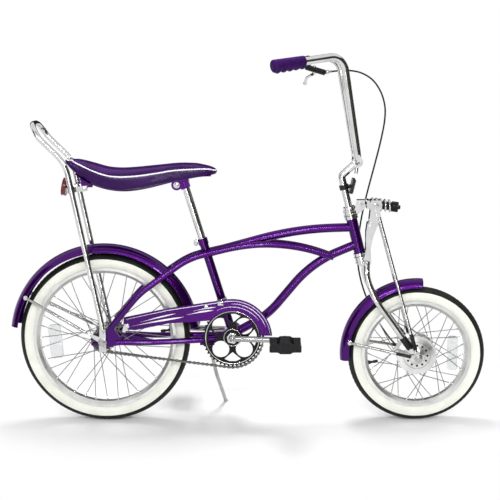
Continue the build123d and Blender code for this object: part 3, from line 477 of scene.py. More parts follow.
def piping_points(surface):
    """Where the seam lies on the cover, once round, in metres and upright."""
    half = [(saddle_station(i / SEAM_POINTS), 1) for i in range(1, SEAM_POINTS)]
    plan = []
    for x, side in half + [(x, -1) for x, side in reversed(half)]:
        plan.append(Vector((x, side * along(SADDLE_WIDTH, x), along(SADDLE_SEAM, x))) / 1000)
    found = []
    for i, point in enumerate(plan):
        way = plan[(i + 1) % len(plan)] - plan[i - 1]
        outwards = Vector((-way.y, way.x, 0)).normalized()
        if outwards.dot(Vector((point.x - 0.118, point.y, 0))) < 0:
            outwards = -outwards
        hit = surface.ray_cast(point + outwards * 0.03, -outwards)
        found.append(hit[0] + outwards * 0.0004 if hit[0] else point)
    return found


make_saddle()


# Small building blocks in the upright frame, in millimetres
def pin(mesh_data, start, end, profile, sides=20):
    """A turned piece between two upright points: profile holds (share of the length, radius)."""
    start, end = parked(*start), parked(*end)
    way = (end - start).normalized()
    normal = way.orthogonal().normalized()
    side = way.cross(normal)
    rings = []
    for share, radius in profile:
        ring = circle(start.lerp(end, share), radius / 1000, normal, side, sides)
        rings.append([mesh_data.verts.new(point) for point in ring])
    skin(mesh_data, rings)


def across_pin(mesh_data, centre, y_from, y_to, profile, sides=20):
    """A turned piece that runs sideways through a centre's x and z."""
    pin(mesh_data, (centre[0], y_from, centre[2]), (centre[0], y_to, centre[2]), profile, sides)


def side_bolt(mesh_data, x, y, z, radius, height):
    """A washer and a domed hexagon head that stand out sideways from (x, y, z)."""
    way = 1 if y > 0 else -1
    across_pin(mesh_data, (x, y, z), y - way * 0.3, y + way * 1.1,
               [(0, radius * 1.45), (0.8, radius * 1.45), (1, radius * 1.3)])
    across_pin(mesh_data, (x, y, z), y, y + way * height,
               [(0, radius), (0.75, radius), (0.92, radius * 0.85), (1, radius * 0.5)], 6)


def around(centre, radius, angle, y=0.0):
    """A point on a circle about an axle, at an angle in degrees."""
    return (centre[0] + radius * cos(radians(angle)), y, centre[2] + radius * sin(radians(angle)))


def hoop(mesh_data, centre, y, radius, thick, first=0.0, last=360.0, steps=96, sides=8):
    """A round wire bent about an axle, whole or from one angle to another."""
    closed = last - first >= 360
    points = [parked(*around(centre, radius, first + (last - first) * i / steps, y))
              for i in range(steps if closed else steps + 1)]
    tube_along(mesh_data, points, thick / 1000, sides, closed)


def ring_about(mesh_data, centre, way, radius, thick):
    """A round wire bent about any axis."""
    way = Vector(way).normalized()
    normal = way.orthogonal().normalized()
    side = way.cross(normal)
    points = [parked(*point) for point in circle(Vector(centre), radius, normal, side, 48)]
    tube_along(mesh_data, points, thick / 1000, closed=True)


def flat_plate(mesh_data, outline, y_from, y_to, edge=0.4):
    """A plate from its side view, with small chamfers round both faces."""
    middle = Vector((sum(x for x, z in outline) / len(outline), sum(z for x, z in outline) / len(outline)))
    rings = []
    for y, shrink in ((y_from, 1), (y_from + edge, 0), (y_to - edge, 0), (y_to, 1)):
        ring = []
        for x, z in outline:
            inwards = (middle - Vector((x, z))).normalized() * edge * shrink
            ring.append(mesh_data.verts.new(parked(x + inwards.x, y, z + inwards.y)))
        rings.append(ring)
    skin(mesh_data, rings)


def ribbon(mesh_data, points, widths, y_from, y_to):
    """A thin raised stripe along side-view points, as wide at each as the list says."""
    rows = []
    for i, (x, z) in enumerate(points):
        ahead, behind = points[min(i + 1, len(points) - 1)], points[max(i - 1, 0)]
        way = Vector((ahead[0] - behind[0], ahead[1] - behind[1])).normalized()
        half = widths[i] / 2
        rows.append([mesh_data.verts.new(parked(x - way.y * half * s, y, z + way.x * half * s))
                     for s, y in ((-1, y_from), (-1, y_to), (1, y_to), (1, y_from))])
    skin(mesh_data, rows)


# Tyre tread: a zigzag rib down the middle and two rows of blocks each side
TREAD_ROWS = ((-9, 9, 0.30, 0.10), (14, 31, 0.36, 0.12), (-31, -14, 0.36, -0.12), (35, 56, 0.27, 0.2),
              (-56, -35, 0.27, -0.2))
TREAD_PROUD, TREAD_SUNK = 0.6, 0.5


def tread_block(mesh_data, axle, core, middle, half, low, high, skew):
    """One block: its foot is sunk in the rubber and its top stands proud of the curved section."""
    rings = []
    for height, shrink in ((-TREAD_SUNK, 1.0), (TREAD_PROUD, 0.84)):
        ring = []
        for way, share in ((-1, 0), (-1, 0.5), (-1, 1), (1, 1), (1, 0.5), (1, 0)):
            centred = (share - 0.5) * shrink
            section = low + (high - low) * (0.5 + centred)
            angle = middle + way * half * shrink + skew * half * 2 * centred
            reach = core + (TYRE_SECTION + height) * cos(section)
            ring.append(mesh_data.verts.new(parked(axle[0] + reach * cos(angle),
                                                   (TYRE_SECTION + height) * sin(section),
                                                   axle[2] + reach * sin(angle))))
        rings.append(ring)
    base, top = rings
    for k in range(6):
        mesh_data.faces.new((base[k], base[(k + 1) % 6], top[(k + 1) % 6], top[k]))
    for ring, picks in ((top, (0, 1, 4, 5)), (top, (1, 2, 3, 4)), (base, (5, 4, 1, 0)), (base, (4, 3, 2, 1))):
        mesh_data.faces.new([ring[pick] for pick in picks])


def make_tread(name, body, axle, radius, count, look):
    """The blocks of one tyre, row by row."""
    shape = bmesh.new()
    pitch = 2 * pi / count
    for i in range(count):
        for row, (low, high, share, skew) in enumerate(TREAD_ROWS):
            offset = 0.5 * pitch if row in (1, 2) else 0
            tread_block(shape, axle, radius - TYRE_SECTION, i * pitch + offset, pitch * share,
                        radians(low), radians(high), skew * 3)
    add_piece(name, shape, body, look, smooth=False)


make_tread("rear_tread", "rear_wheel", REAR_AXLE, REAR_RADIUS, 112, rear_rubber)
make_tread("front_tread", "front_wheel", FRONT_AXLE, FRONT_RADIUS, 89, front_rubber)


# Wheels: nipples, spoke heads, valves, rivets and beads
RIM_SEAT, RIM_DEPTH = 6.2, 16.5


def rim_inside(radius):
    """Radius of the rim's inner face, where the nipples sit."""
    return radius - 2 * TYRE_SECTION + RIM_SEAT - RIM_DEPTH


def make_lacing(name, body, axle, radius, flange_radius, flange_y, cross):
    """The nipple at each spoke's rim end and the head at its hub end."""
    shape = bmesh.new()
    rim_radius = rim_inside(radius)
    for side in (-1, 1):
        for i in range(18):
            lead = 1 if i % 2 == 0 else -1
            hub_angle = 20 * i + 10 * (side > 0)
            rim_angle = hub_angle + lead * 20 * cross
            start = Vector(around(axle, flange_radius + 1.3, hub_angle, side * (flange_y + 1.4 * lead)))
            end = Vector(around(axle, rim_radius - 0.8, rim_angle, side * (5 + 1.5 * lead)))
            way = (end - start).normalized()
            pin(shape, end + way * 1.5, end - way * 11,
                [(0, 2.6), (0.14, 2.6), (0.2, 1.9), (0.86, 1.75), (1, 1.2)], 8)
            head_y = side * (flange_y + 2.4 * lead)
            head = Vector(around(axle, flange_radius - 1.5, hub_angle, head_y))
            pin(shape, head - Vector((0, side * lead * 0.9, 0)), head + Vector((0, side * lead * 1.2, 0)),
                [(0, 2.0), (0.6, 1.9), (1, 1.0)], 10)
    add_piece(name, shape, body, chrome)


def make_valve(name, body, axle, radius, angle):
    """A rubber valve stem through the rim with its ribbed dust cap."""
    shape = bmesh.new()
    rim_radius = rim_inside(radius)
    steps = ((0.0, 5.4), (0.2, 4.8), (0.3, 3.6), (0.55, 3.4), (0.56, 4.6), (0.66, 4.6), (0.7, 4.1),
             (0.75, 4.6), (0.8, 4.1), (0.85, 4.6), (0.9, 4.1), (0.95, 4.2), (1.0, 2.6))
    pin(shape, around(axle, rim_radius + 1, angle), around(axle, rim_radius - 29, angle), steps, 16)
    add_piece(name, shape, body, cable_black)


make_lacing("rear_lacing", "rear_wheel", REAR_AXLE, REAR_RADIUS, 31.0, 29.5, 3)
make_lacing("front_lacing", "front_wheel", FRONT_AXLE, FRONT_RADIUS, 57.0, 27.0, 2)
make_valve("rear_valve", "rear_wheel", REAR_AXLE, REAR_RADIUS, 6)
make_valve("front_valve", "front_wheel", FRONT_AXLE, FRONT_RADIUS, 192)

shape = bmesh.new()
for i in range(12):
    across_pin(shape, around(FRONT_AXLE, 30, 30 * i), -31.6, -33.9, [(0, 3.2), (0.8, 3.2), (1, 2.6)], 14)
add_piece("front_hub_rivets", shape, "front_wheel", black_gloss)
for name, body, axle, beads in (
        ("front_hub_beads", "front_wheel", FRONT_AXLE,
         ((-33.6, 23.5, 0.9), (-31.2, 39.0, 0.9), (-37.6, 12.5, 1.2), (0, 46.0, 1.0))),
        ("rear_hub_beads", "rear_wheel", REAR_AXLE,
         ((-30.9, 30.2, 0.8), (30.9, 30.2, 0.8), (-12, 22.0, 0.8), (0, 22.0, 0.8), (12, 22.0, 0.8)))):
    shape = bmesh.new()
    for y, radius, thick in beads:
        hoop(shape, axle, y, radius, thick)
    add_piece(name, shape, body, steel)

# Axle ends: washers, threads and domed nuts' faces
THREAD_STEP = 1.25
WASHER, NUT_FACE = [(0, 12.6), (0.7, 12.6), (1, 11.9)], [(0, 8.6), (0.5, 8.2), (1, 6.4)]
for name, body, axle, nut, tip in (
        ("rear_axle_threads", "frame", REAR_AXLE, 66.6, 84.0),
        ("front_axle_threads", "steering", FRONT_AXLE, 63.4, 76.0)):
    shape = bmesh.new()
    for side in (-1, 1):
        for inner, outer, profile, sides in ((-0.1, 1.5, WASHER, 28), (8.6, 10.0, NUT_FACE, 24)):
            across_pin(shape, axle, side * (nut + inner), side * (nut + outer), profile, sides)
        for i in range(int((tip - nut - 10.2) / THREAD_STEP)):
            hoop(shape, axle, side * (nut + 10.4 + THREAD_STEP * i), 4.85, 0.42, steps=24, sides=6)
    add_piece(name, shape, body, steel)

# Chain: rollers, and side plates in pairs that lie inside and outside by turns
CHAIN_Y = -46.0
PITCH, RING_TEETH, SPROCKET_TEETH = 12.7, 44, 16
LINK_END, LINK_WAIST, LINK_PLATE = 3.7, 1.7, 1.15
OUTER_GAP, INNER_GAP = 3.45, 2.15
RING_RADIUS = PITCH / (2 * sin(pi / RING_TEETH))
SPROCKET_RADIUS = PITCH / (2 * sin(pi / SPROCKET_TEETH))
centre_way = Vector((CRANK[0] - REAR_AXLE[0], CRANK[2] - REAR_AXLE[2]))
contact = 90 + degrees(asin((RING_RADIUS - SPROCKET_RADIUS) / centre_way.length))
tilt = degrees(atan2(centre_way.y, centre_way.x))
straight = sqrt(centre_way.length ** 2 - (RING_RADIUS - SPROCKET_RADIUS) ** 2)
ring_run = radians(2 * contact) * RING_RADIUS
sprocket_run = radians(360 - 2 * contact) * SPROCKET_RADIUS
chain_length = 2 * straight + ring_run + sprocket_run
link_count = 2 * round(chain_length / PITCH / 2)


def chain_point(travel):
    """A pin's place after this travel: lower run, sprocket, upper run, chainring."""
    travel %= chain_length
    for run, lower in ((0, True), (straight + sprocket_run, False)):
        if run <= travel < run + straight:
            angle = tilt - contact if lower else tilt + contact
            ends = [Vector(around(CRANK, RING_RADIUS, angle)),
                    Vector(around(REAR_AXLE, SPROCKET_RADIUS, angle))]
            start, end = ends if lower else ends[::-1]
            return start.lerp(end, (travel - run) / straight)
    if travel < straight + sprocket_run:
        return Vector(around(REAR_AXLE, SPROCKET_RADIUS,
                             tilt - contact - degrees((travel - straight) / SPROCKET_RADIUS)))
    return Vector(around(CRANK, RING_RADIUS,
                         tilt + contact - degrees((travel - 2 * straight - sprocket_run) / RING_RADIUS)))


def make_chain():
    """The closed chain, link by link."""
    shape = bmesh.new()
    pitch = chain_length / link_count
    for i in range(link_count):
        here, there = chain_point(i * pitch), chain_point((i + 1) * pitch)
        way = (there - here).normalized()
        side = Vector((-way.z, 0, way.x))
        outline = []
        for end, heading in ((here, -1), (there, 1)):
            for degrees_off in (90, 55, 20, -20, -55, -90):
                turn_by = radians(degrees_off * heading)
                swell = end + LINK_END * (cos(turn_by) * way * heading - sin(turn_by) * side)
                outline.append((swell.x, swell.z))
            middle = (here + there) / 2 + side * LINK_WAIST * heading
            outline.append((middle.x, middle.z))
        gap = OUTER_GAP if i % 2 else INNER_GAP
        for out in (-1, 1):
            low, high = sorted((CHAIN_Y + out * gap, CHAIN_Y + out * (gap + LINK_PLATE)))
            flat_plate(shape, outline, low, high, 0.25)
        across_pin(shape, here, CHAIN_Y - 2.0, CHAIN_Y + 2.0, [(0, 3.9), (1, 3.9)], 12)
        across_pin(shape, here, CHAIN_Y - 5.1, CHAIN_Y + 5.1,
                   [(0, 1.2), (0.03, 1.8), (0.97, 1.8), (1, 1.2)], 10)
    chain = add_piece("chain_links", shape, "frame", chain_steel, smooth=False)
    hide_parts("chain")


make_chain()

# Fenders: rolled edges down both sides and round the ends
REAR_FENDER, FRONT_FENDER = (278.5, 31.0, 23.0, 7.0, 172.0), (223.0, 28.0, 25.0, 86.0, 184.5)
for name, body, axle, (radius, half, depth, first, last) in (
        ("rear_fender_edges", "frame", REAR_AXLE, REAR_FENDER),
        ("front_fender_edges", "steering", FRONT_AXLE, FRONT_FENDER)):
    shape = bmesh.new()
    for side in (-1, 1):
        hoop(shape, axle, side * (half - 0.6), radius - depth + 0.4, 1.35, first, last, 90)
    for degrees_at in (first, last):
        arc = []
        for i in range(19):
            lift = sin(pi * i / 18) ** 0.8
            arc.append(parked(*around(axle, radius - depth + (depth - 1.3) * lift, degrees_at,
                                      (half - 0.6) * cos(pi * i / 18))))
        tube_along(shape, arc, 0.00125)
    add_piece(name, shape, body, violet)

# Bolts, as (x, y, z, radius, height): those on both sides, then the single ones
for name, body, pairs, single in (
        ("frame_bolts", "frame",
         ((*around(REAR_AXLE, 256.5, 151, 36.4), 4.6, 4.5), (0.5, 66.3, 277, 5.2, 5.5),
          (3.5, 66.3, 231, 5.2, 5.5), (-42, 54.4, 694, 4.6, 4.5), (218, 15.8, 698, 6.6, 7),
          (271, 8.9, 528, 5.6, 5.5)),
         ((131, 42.7, 228, 4.6, 4.5), (301, -57.9, 350, 3.8, 3))),
        ("steering_bolts", "steering",
         ((*around(FRONT_AXLE, 199, 169, 33.4), 4.4, 4.2), (761, 33.9, 467, 6.8, 6),
          (789, 29.2, 637, 5.6, 5), (745, 12.9, 640, 5.2, 5)),
         ((861, 42, 201, 4.2, 4.5),))):
    shape = bmesh.new()
    for x, y, z, radius, height in pairs:
        for side in (-1, 1):
            side_bolt(shape, x, side * y, z, radius, height)
    for place in single:
        side_bolt(shape, *place)
    add_piece(name, shape, body, chrome, smooth=False)

# Chain guard: rolled upper edge, generic pinstripes, strap and clip
GUARD_Y, GUARD_RADIUS = -58.0, 115


def crank_arc(radius, angles):
    """Side-view points about the crank's axle."""
    return [(x, z) for x, y, z in (around(CRANK, radius, angle) for angle in angles)]


def guard_line(inset):
    """Points along the guard's upper edge, this far inside it."""
    points = [(63 + inset, 319 - inset), (192, 346 - inset * 1.02), (280, 359 - inset)]
    return points + crank_arc(GUARD_RADIUS - inset, range(97, 4, -4))


def evenly(points, step=8.0):
    """The same line with more points, so that a stripe can taper along it."""
    found = []
    for (x0, z0), (x1, z1) in zip(points, points[1:]):
        count = max(1, round(hypot(x1 - x0, z1 - z0) / step))
        found += [(x0 + (x1 - x0) * i / count, z0 + (z1 - z0) * i / count) for i in range(count)]
    return found + [points[-1]]


def stripe(mesh_data, line, edge, wide, bulge=1.0, lean=1.0):
    """A pinstripe on the guard, as wide as edge at its ends and swelling between them."""
    last = len(line) - 1
    widths = [edge + wide * sin(pi * (i / last) ** lean) ** bulge for i in range(last + 1)]
    ribbon(mesh_data, line, widths, GUARD_Y - 0.25, GUARD_Y + 0.2)


shape = bmesh.new()
tube_along(shape, [parked(x, GUARD_Y + 0.5, z) for x, z in evenly(guard_line(0.6))], 0.0010)
add_piece("guard_edge", shape, "frame", violet)
shape = bmesh.new()
flat_plate(shape, [(78, 291), (78, 301), (64, 301), (58, 287), (58, 276), (66, 276), (69, 284)], -60.2, -58.1)
flat_plate(shape, [(334, 354), (350, 354), (350, 366), (334, 366)], -58.9, -57.9)
flat_plate(shape, [(336, 356.2), (348, 356.2), (348, 359), (336, 359)], -56.3, -13.0)
side_bolt(shape, 71, -60.1, 295, 3.8, 3.5)
side_bolt(shape, 342, -58.8, 360, 3.8, 3.5)
clip_way = Vector((seat_way.x, 0, seat_way.z))
for height in (352, 357, 362):
    share = (height - CRANK[2]) / clip_way.z
    ring_about(shape, Vector(CRANK) + clip_way * share, clip_way, 13.6, 1.9)
add_piece("guard_fittings", shape, "frame", chrome)

shape = bmesh.new()
stripe(shape, evenly(guard_line(5.0), 4.0), 0.5, 1.3, bulge=0.5)
for start, end, wide in (
        ((84, 294), (236, 321), 5.0), ((108, 305), (212, 331), 3.6), ((244, 327), (322, 341), 4.6),
        ((262, 338), (330, 350), 3.0)):
    middle = ((start[0] + end[0]) / 2, (start[1] + end[1]) / 2 + 1.2)
    stripe(shape, evenly([start, middle, end], 4.0), 0.3, wide, lean=1.7)
for radius, first, last, wide in ((102, 92, 20, 2.0), (93, 118, 34, 1.4)):
    line = crank_arc(radius, [first + (last - first) * i / 40 for i in range(41)])
    stripe(shape, line, 0.3, wide, bulge=0.7)
add_piece("guard_pinstripes", shape, "frame", white_trim)

# Crankset and bottom bracket
shape = bmesh.new()
hoop(shape, CRANK, CHAIN_Y - 1.6, 77.5, 1.7, steps=128)
hoop(shape, CRANK, CHAIN_Y - 1.6, 24.5, 1.3)
CONE_NUT, BEARING_CAP = [(0, 17.5), (0.85, 17.5), (1, 16)], [(0, 24.5), (0.7, 24.5), (1, 22)]
for inner, outer, profile, sides in (
        (-51.8, -57.5, CONE_NUT, 6), (36.4, 38.6, BEARING_CAP, 36), (38.4, 45.5, CONE_NUT, 6)):
    across_pin(shape, CRANK, inner, outer, profile, sides)
for side in (-1, 1):
    eye_x = CRANK[0] - side * CRANK_LENGTH
    for y in (76.6, 87.4):
        hoop(shape, (eye_x, 0, CRANK[2]), side * y, 11.4, 0.9, steps=40)
    hoop(shape, CRANK, side * 69.5, 7.4, 1.2, steps=36)
add_piece("crank_fittings", shape, "crankset", chrome)


# Pedals: ribs across both treads, end plates and caps
PEDAL_IN, PEDAL_LENGTH, PEDAL_HALF, PEDAL_TALL = 91.0, 92.0, 43.5, 10.5
PEDAL_PLATE = ((-44.6, -8.6), (-20, -11.2), (0, -15.6), (20, -11.2), (44.6, -8.6))


def rib(mesh_data, x_from, x_to, y, z_foot, z_top):
    """A low ridge along X, narrower at its top."""
    low, high = sorted((x_from, x_to))
    corners = []
    for z, half, inset in ((z_foot, 1.7, 0.0), (z_top, 1.0, 0.8)):
        corners.append([mesh_data.verts.new(parked(px, y + py, z))
                        for px, py in ((low + inset, -half), (high - inset, -half), (high - inset, half),
                                       (low + inset, half))])
    skin(mesh_data, corners)


for name, side in (("pedal_right", -1), ("pedal_left", 1)):
    shape = bmesh.new()
    cx, cz = CRANK[0] - side * CRANK_LENGTH, CRANK[2]
    for i in range(13):
        y = side * (PEDAL_IN + 7 + 6.5 * i)
        for way in (-1, 1):
            for face in (-1, 1):
                rib(shape, cx + way * 23.5, cx + way * (PEDAL_HALF - 0.8), y,
                    cz + face * (PEDAL_TALL - 0.3), cz + face * (PEDAL_TALL + 1.6))
    plate = [(cx + way * x, cz + way * z) for way in (1, -1) for x, z in PEDAL_PLATE]
    for y in (PEDAL_IN + 0.1, PEDAL_IN + PEDAL_LENGTH - 1.9):
        low, high = sorted((side * y, side * (y + 1.8)))
        flat_plate(shape, plate, low, high)
    end = PEDAL_IN + PEDAL_LENGTH
    across_pin(shape, (cx, 0, cz), side * (end - 1), side * (end + 1.1),
               [(0, 9.6), (0.6, 9.6), (0.85, 8.6), (1, 6)], 24)
    add_piece(name + "_tread", shape, name, rubber, smooth=False)

# Fender stays: a thicker tube over each round stay
FRONT_STAYS = {side: (Vector(around(FRONT_AXLE, 199, 169, side * 30.9)),
                      Vector(around(FRONT_AXLE, 19, 169, side * 64.1))) for side in (-1, 1)}
REAR_STAYS = {side: (Vector(around(REAR_AXLE, 256.5, 151, side * 33.9)),
                     Vector(around(REAR_AXLE, 37, 151, side * 62.1))) for side in (-1, 1)}
for name, body, stays, last, radius in (
        ("front_stay_tubes", "steering", FRONT_STAYS, 0.87, 4.3),
        ("rear_stay_tubes", "frame", REAR_STAYS, 0.93, 4.4)):
    shape = bmesh.new()
    for top, low in stays.values():
        pin(shape, top.lerp(low, 0.012), top.lerp(low, last),
            [(0, radius - 1.4), (0.03, radius), (0.97, radius), (1, radius - 1.2)])
    add_piece(name, shape, body, stay_plate)

# Black plastic sleeves at the fork's foot
shape = bmesh.new()
for side in (-1, 1):
    blade = (Vector((788, side * 50, 366)), Vector((889.5, side * 53, 223.5)))
    truss = (Vector((797, side * 29, 604)), Vector((904, side * 61.4, 216)))
    for (top, low), first, last, radius in ((blade, 0.76, 0.985, 10.4), (truss, 0.865, 0.985, 5.9)):
        pin(shape, top.lerp(low, first), top.lerp(low, last),
            [(0, radius - 0.7), (0.04, radius), (0.96, radius), (1, radius - 0.7)], 24)
    top, low = FRONT_STAYS[side]
    pin(shape, top.lerp(low, 0.75), top.lerp(low, 0.985), [(0, 4.3), (0.06, 5.0), (0.94, 5.0), (1, 4.3)], 16)
add_piece("fork_sleeves", shape, "steering", cable_black)

# Headset: hexagon locknut, rings, and black rings as painted shade in the gaps between them
HEAD_TOP, HEAD_FOOT = Vector((720.0, 0, 597.0)), Vector((744.0, 0, 498.0))
HEAD_WAY = (HEAD_FOOT - HEAD_TOP).normalized()
head_length = (HEAD_FOOT - HEAD_TOP).length
shape = bmesh.new()
pin(shape, HEAD_TOP - HEAD_WAY * 35.8, HEAD_TOP - HEAD_WAY * 27.2,
    [(0, 16.4), (0.15, 18.4), (0.85, 18.4), (1, 16.4)], 6)
for distance, radius, thick in (
        (-23, 19.2, 0.9), (-14, 19.2, 0.9), (head_length + 28, 18.0, 1.3), (head_length + 12, 18.2, 1.1)):
    ring_about(shape, HEAD_TOP + HEAD_WAY * distance, HEAD_WAY, radius, thick)
add_piece("headset_rings", shape, "steering", chrome)
# Black rings in the gaps between the chrome rings: painted shade of those gaps, not seals
shape = bmesh.new()
for distance, radius in ((-10.2, 19.6), (head_length + 9.2, 18.6)):
    ring_about(shape, HEAD_TOP + HEAD_WAY * distance, HEAD_WAY, radius, 0.8)
add_piece("headset_gap_shade", shape, "steering", black_gloss)

# Grips with finger rolls below, and the lever's small parts
GRIP_BACK, GRIP_FRONT, GRIP_RADIUS = -4.0, 101.0, 15.5
GRIP_SIDES, FINGER_STEP, GROOVE_STEP = 32, 20, 4


def grip_radius(travel, low_share):
    """Radius at this travel: rolled for the fingers where low_share, from 0 to 1, nears the underside."""
    rise = min(1, (travel - GRIP_BACK + 1.2) / 7, (GRIP_FRONT - travel + 1.2) / 7)
    rounding = sqrt(max(0.05, 1 - (1 - rise) ** 2))
    rolls = 0.5 + 0.5 * cos(2 * pi * (travel - 10) / FINGER_STEP)
    fine = 0.25 * cos(2 * pi * travel / GROOVE_STEP)
    taper = GRIP_RADIUS + 1.2 - 0.012 * (travel - GRIP_BACK)
    return (taper + fine + low_share ** 1.5 * (1.2 + 3.6 * rolls)) * rounding


def make_grip(name, side):
    """A rubber cover over one grip, a ring at each millimetre."""
    end, corner = (Vector((x, side * y, z)) for x, y, z in (BAR_END, BAR_CORNER))
    way = (corner - end).normalized()
    lift = (Vector((0, 0, 1)) - way * way.z).normalized()
    sideways = way.cross(lift)
    shape = bmesh.new()
    rings = []
    for i in range(round(GRIP_FRONT - GRIP_BACK) + 1):
        travel = GRIP_BACK + i
        ring = []
        for k in range(GRIP_SIDES):
            angle = 2 * pi * k / GRIP_SIDES
            outwards = cos(angle) * lift + sin(angle) * sideways
            reach = grip_radius(travel, max(0, -cos(angle)))
            ring.append(shape.verts.new(parked(*(end + way * travel + reach * outwards))))
        rings.append(ring)
    skin(shape, rings)
    grip = add_piece(name + "_cover", shape, "steering", violet_rubber)
    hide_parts(name)


make_grip("grip_left", 1)
make_grip("grip_right", -1)

shape = bmesh.new()
cable_start = LEVER + Vector((64, -37.5, -32))
cable_way = (Vector((706, 109, 1020)) - cable_start).normalized()
pin(shape, cable_start - cable_way * 7, cable_start + cable_way * 9,
    [(0, 5.4), (0.12, 6.2), (0.45, 6.2), (0.5, 4.6), (0.9, 4.2), (1, 3.2)], 14)
for start, end, profile in (
        ((24, -14, -13), (24, -14, -40), [(0, 2.5), (0.08, 4.2), (0.9, 4.2), (1, 2.5)]),
        ((-2.4, 85, -68.6), (-1.8, 77, -65), [(0, 2.5), (0.3, 5.6), (0.7, 5.6), (1, 3.9)])):
    pin(shape, LEVER + Vector(start), LEVER + Vector(end), profile, 16)
add_piece("lever_fittings", shape, "steering", chrome)

# Reflectors: the front one's ribbed lens and the rear one's bezel
LENS_TILT = radians(13.6)
shape = bmesh.new()
lens_out = Vector((cos(LENS_TILT), 0, -sin(LENS_TILT)))
lens_up = Vector((sin(LENS_TILT), 0, cos(LENS_TILT)))
for i in range(9):
    foot = Vector((721, 0, 692)) + lens_out * 4.2 + lens_up * (4.3 * (i - 4))
    tube_along(shape, [parked(*(foot + Vector((0, y, 0)))) for y in (-25, 0, 25)], 0.00215, 10)
add_piece("front_lens", shape, "steering", clear_lens)
shape = bmesh.new()
middle, outwards = Vector((-111, 0, 694)), Vector((-11, 0, 2)).normalized()
ring_about(shape, middle, outwards, 24.6, 1.6)
ring_about(shape, Vector((-100.5, 0, 692)), outwards, 24.9, 1.2)
for radius in (6, 12, 18):
    ring_about(shape, middle, outwards, radius, 0.7)
add_piece("rear_reflector_rings", shape, "frame", red_lens)

# Camera, set where the photograph was taken from
CAMERA_POINT = (492.42, -3263.98, 1032.73)
PHOTO_SIDE, FOCAL = 500, 1140                      # pixels
VANISHING_OFFSET = ((272.0 - PHOTO_SIDE / 2) / FOCAL, (66.0 - PHOTO_SIDE / 2) / FOCAL)
ROLL = -0.00688
depth = Vector((*VANISHING_OFFSET, 1.0)).normalized()
across = Vector((1.0, ROLL, 0.0))
across = (across - depth * across.dot(depth)).normalized()
upright = across.cross(depth)
right, down, forward = (turn((across[i], depth[i], upright[i])) for i in range(3))
camera_data = bpy.data.cameras.new("camera")
camera_data.sensor_width = 36
camera_data.lens = camera_data.sensor_width * FOCAL / PHOTO_SIDE
camera_data.clip_end = 100
camera = bpy.data.objects.new("camera", camera_data)
pose = Matrix((right, -down, -forward)).transposed().to_4x4()
pose.translation = parked(*CAMERA_POINT)
camera.matrix_world = pose
bpy.context.scene.collection.objects.link(camera)
bpy.context.scene.camera = camera

# Floor, world and lamps
WHITE = (1, 1, 1, 1)


def seen(tree):
    """One where the ray comes from the camera, a mirror or glass."""
    rays = new_node(tree, "LightPath").outputs
    either = maths(tree, "MAXIMUM", rays["Is Camera Ray"], rays["Is Glossy Ray"])
    return maths(tree, "MAXIMUM", either, rays["Is Transmission Ray"])


def mix_shaders(tree, factor, first, second, output):
    """Show the second shader in place of the first where the factor is one."""
    node = new_node(tree, "MixShader")
    for index, socket in enumerate((factor, first.outputs[0], second.outputs[0])):
        tree.links.new(socket, node.inputs[index])
    tree.links.new(node.outputs[0], tree.nodes[output].inputs["Surface"])


def make_floor():
    """A white floor that shows the object's shadow near it and plain white further off."""
    material, tree, shader = new_material("floor_look", (0.78, 0.78, 0.78), 0.0, 0.8)
    squeezed = vector_maths(tree, "MULTIPLY", position(tree), Vector((1 / 1.05, 1 / 0.42, 0)))
    far = remap(tree, vector_maths(tree, "LENGTH", squeezed), 0.45, 1.1, 0.0, 1.0)
    glow = new_node(tree, "Emission", Color=WHITE)
    mix_shaders(tree, maths(tree, "MULTIPLY", far, seen(tree)), shader, glow, "Material Output")
    mesh_data = bmesh.new()
    bmesh.ops.create_grid(mesh_data, x_segments=8, y_segments=8, size=30)
    floor = object_from("floor", mesh_data, material)
    floor.location.z = -0.0012


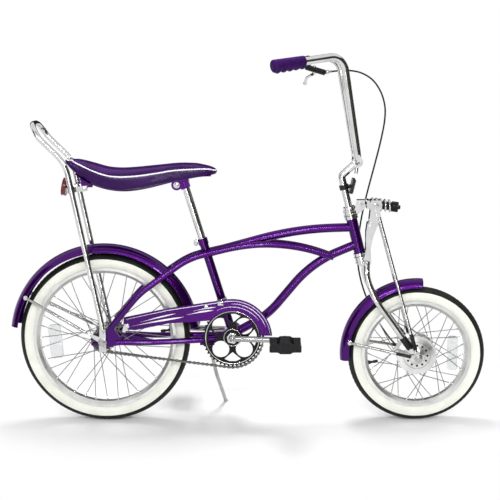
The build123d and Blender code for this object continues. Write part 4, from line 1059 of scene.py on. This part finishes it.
def dark_card(name, centre, width, height, shade):
    """A dark studio card that only mirrors show, so that round tubes get their dark streaks."""
    mesh_data = bmesh.new()
    corners = [mesh_data.verts.new((sx * width / 2, sz * height / 2, 0)) for sx, sz in
               ((-1, -1), (1, -1), (1, 1), (-1, 1))]
    mesh_data.faces.new(corners)
    look = new_material(name + "_look", (shade, shade, shade * 0.8), 0.0, 0.9, specular=0.0)[0]
    card = object_from(name, mesh_data, look)
    card.location = centre
    card.rotation_euler = (Vector((0, 0, 0.5)) - Vector(centre)).to_track_quat("Z", "Y").to_euler()
    card.visible_camera = card.visible_diffuse = card.visible_shadow = card.visible_transmission = False


make_floor()

# The world lights the scene softly and shows plain white
world = bpy.data.worlds.new("studio")
bpy.context.scene.world = world
world.use_nodes = True
tree = world.node_tree
soft = set_inputs(tree.nodes["Background"], Color=WHITE, Strength=0.5)
plain = new_node(tree, "Background", Color=WHITE, Strength=1.0)
mix_shaders(tree, seen(tree), soft, plain, "World Output")

# Cards as (name, centre, width, height, shade)
for card in (
        ("card_right", (2.5, -2.0, 1.1), 4.3, 3.6, 0.07),
        ("card_side", (3.4, 0.8, 1.0), 2.8, 3.0, 0.03),
        ("card_front", (0.58, -2.55, 2.2), 0.42, 0.5, 0.3),
        ("card_left", (-3.0, -0.9, 0.9), 1.7, 3.0, 0.02),
        ("card_back", (0.0, 3.2, 1.3), 7.0, 2.4, 0.02),
        ("card_top", (0.2, -1.3, 3.3), 2.8, 0.6, 0.02)):
    dark_card(*card)

# Lamps, each aimed at the bicycle; depth_share is its height over its width
for name, place, size, depth_share, power in (
        ("key", (-1.2, -2.6, 3.2), 2.2, 1.0, 28),
        ("fill", (2.6, -1.6, 2.0), 2.0, 1.0, 12),
        ("rim", (0.3, 2.8, 2.6), 2.4, 1.0, 8),
        ("top", (-0.1, 0.8, 3.0), 0.8, 1.0, 74),
        ("strip", (0.3, -2.7, 2.3), 2.8, 0.04, 46),
        ("strip_tall", (0.1, -3.9, 1.2), 0.12, 18.0, 16)):
    lamp_data = bpy.data.lights.new(name, "AREA")
    lamp_data.shape = "RECTANGLE"
    lamp_data.size = size
    lamp_data.size_y = size * depth_share
    lamp_data.energy = power
    lamp = bpy.data.objects.new(name, lamp_data)
    lamp.visible_glossy = name in ("strip", "strip_tall")
    lamp.visible_diffuse = name != "strip_tall"
    lamp.location = place
    lamp.rotation_euler = (Vector((0, 0, 0.4)) - Vector(place)).to_track_quat("-Z", "Y").to_euler()
    bpy.context.scene.collection.objects.link(lamp)

bpy.context.scene.view_settings.view_transform = "Standard"
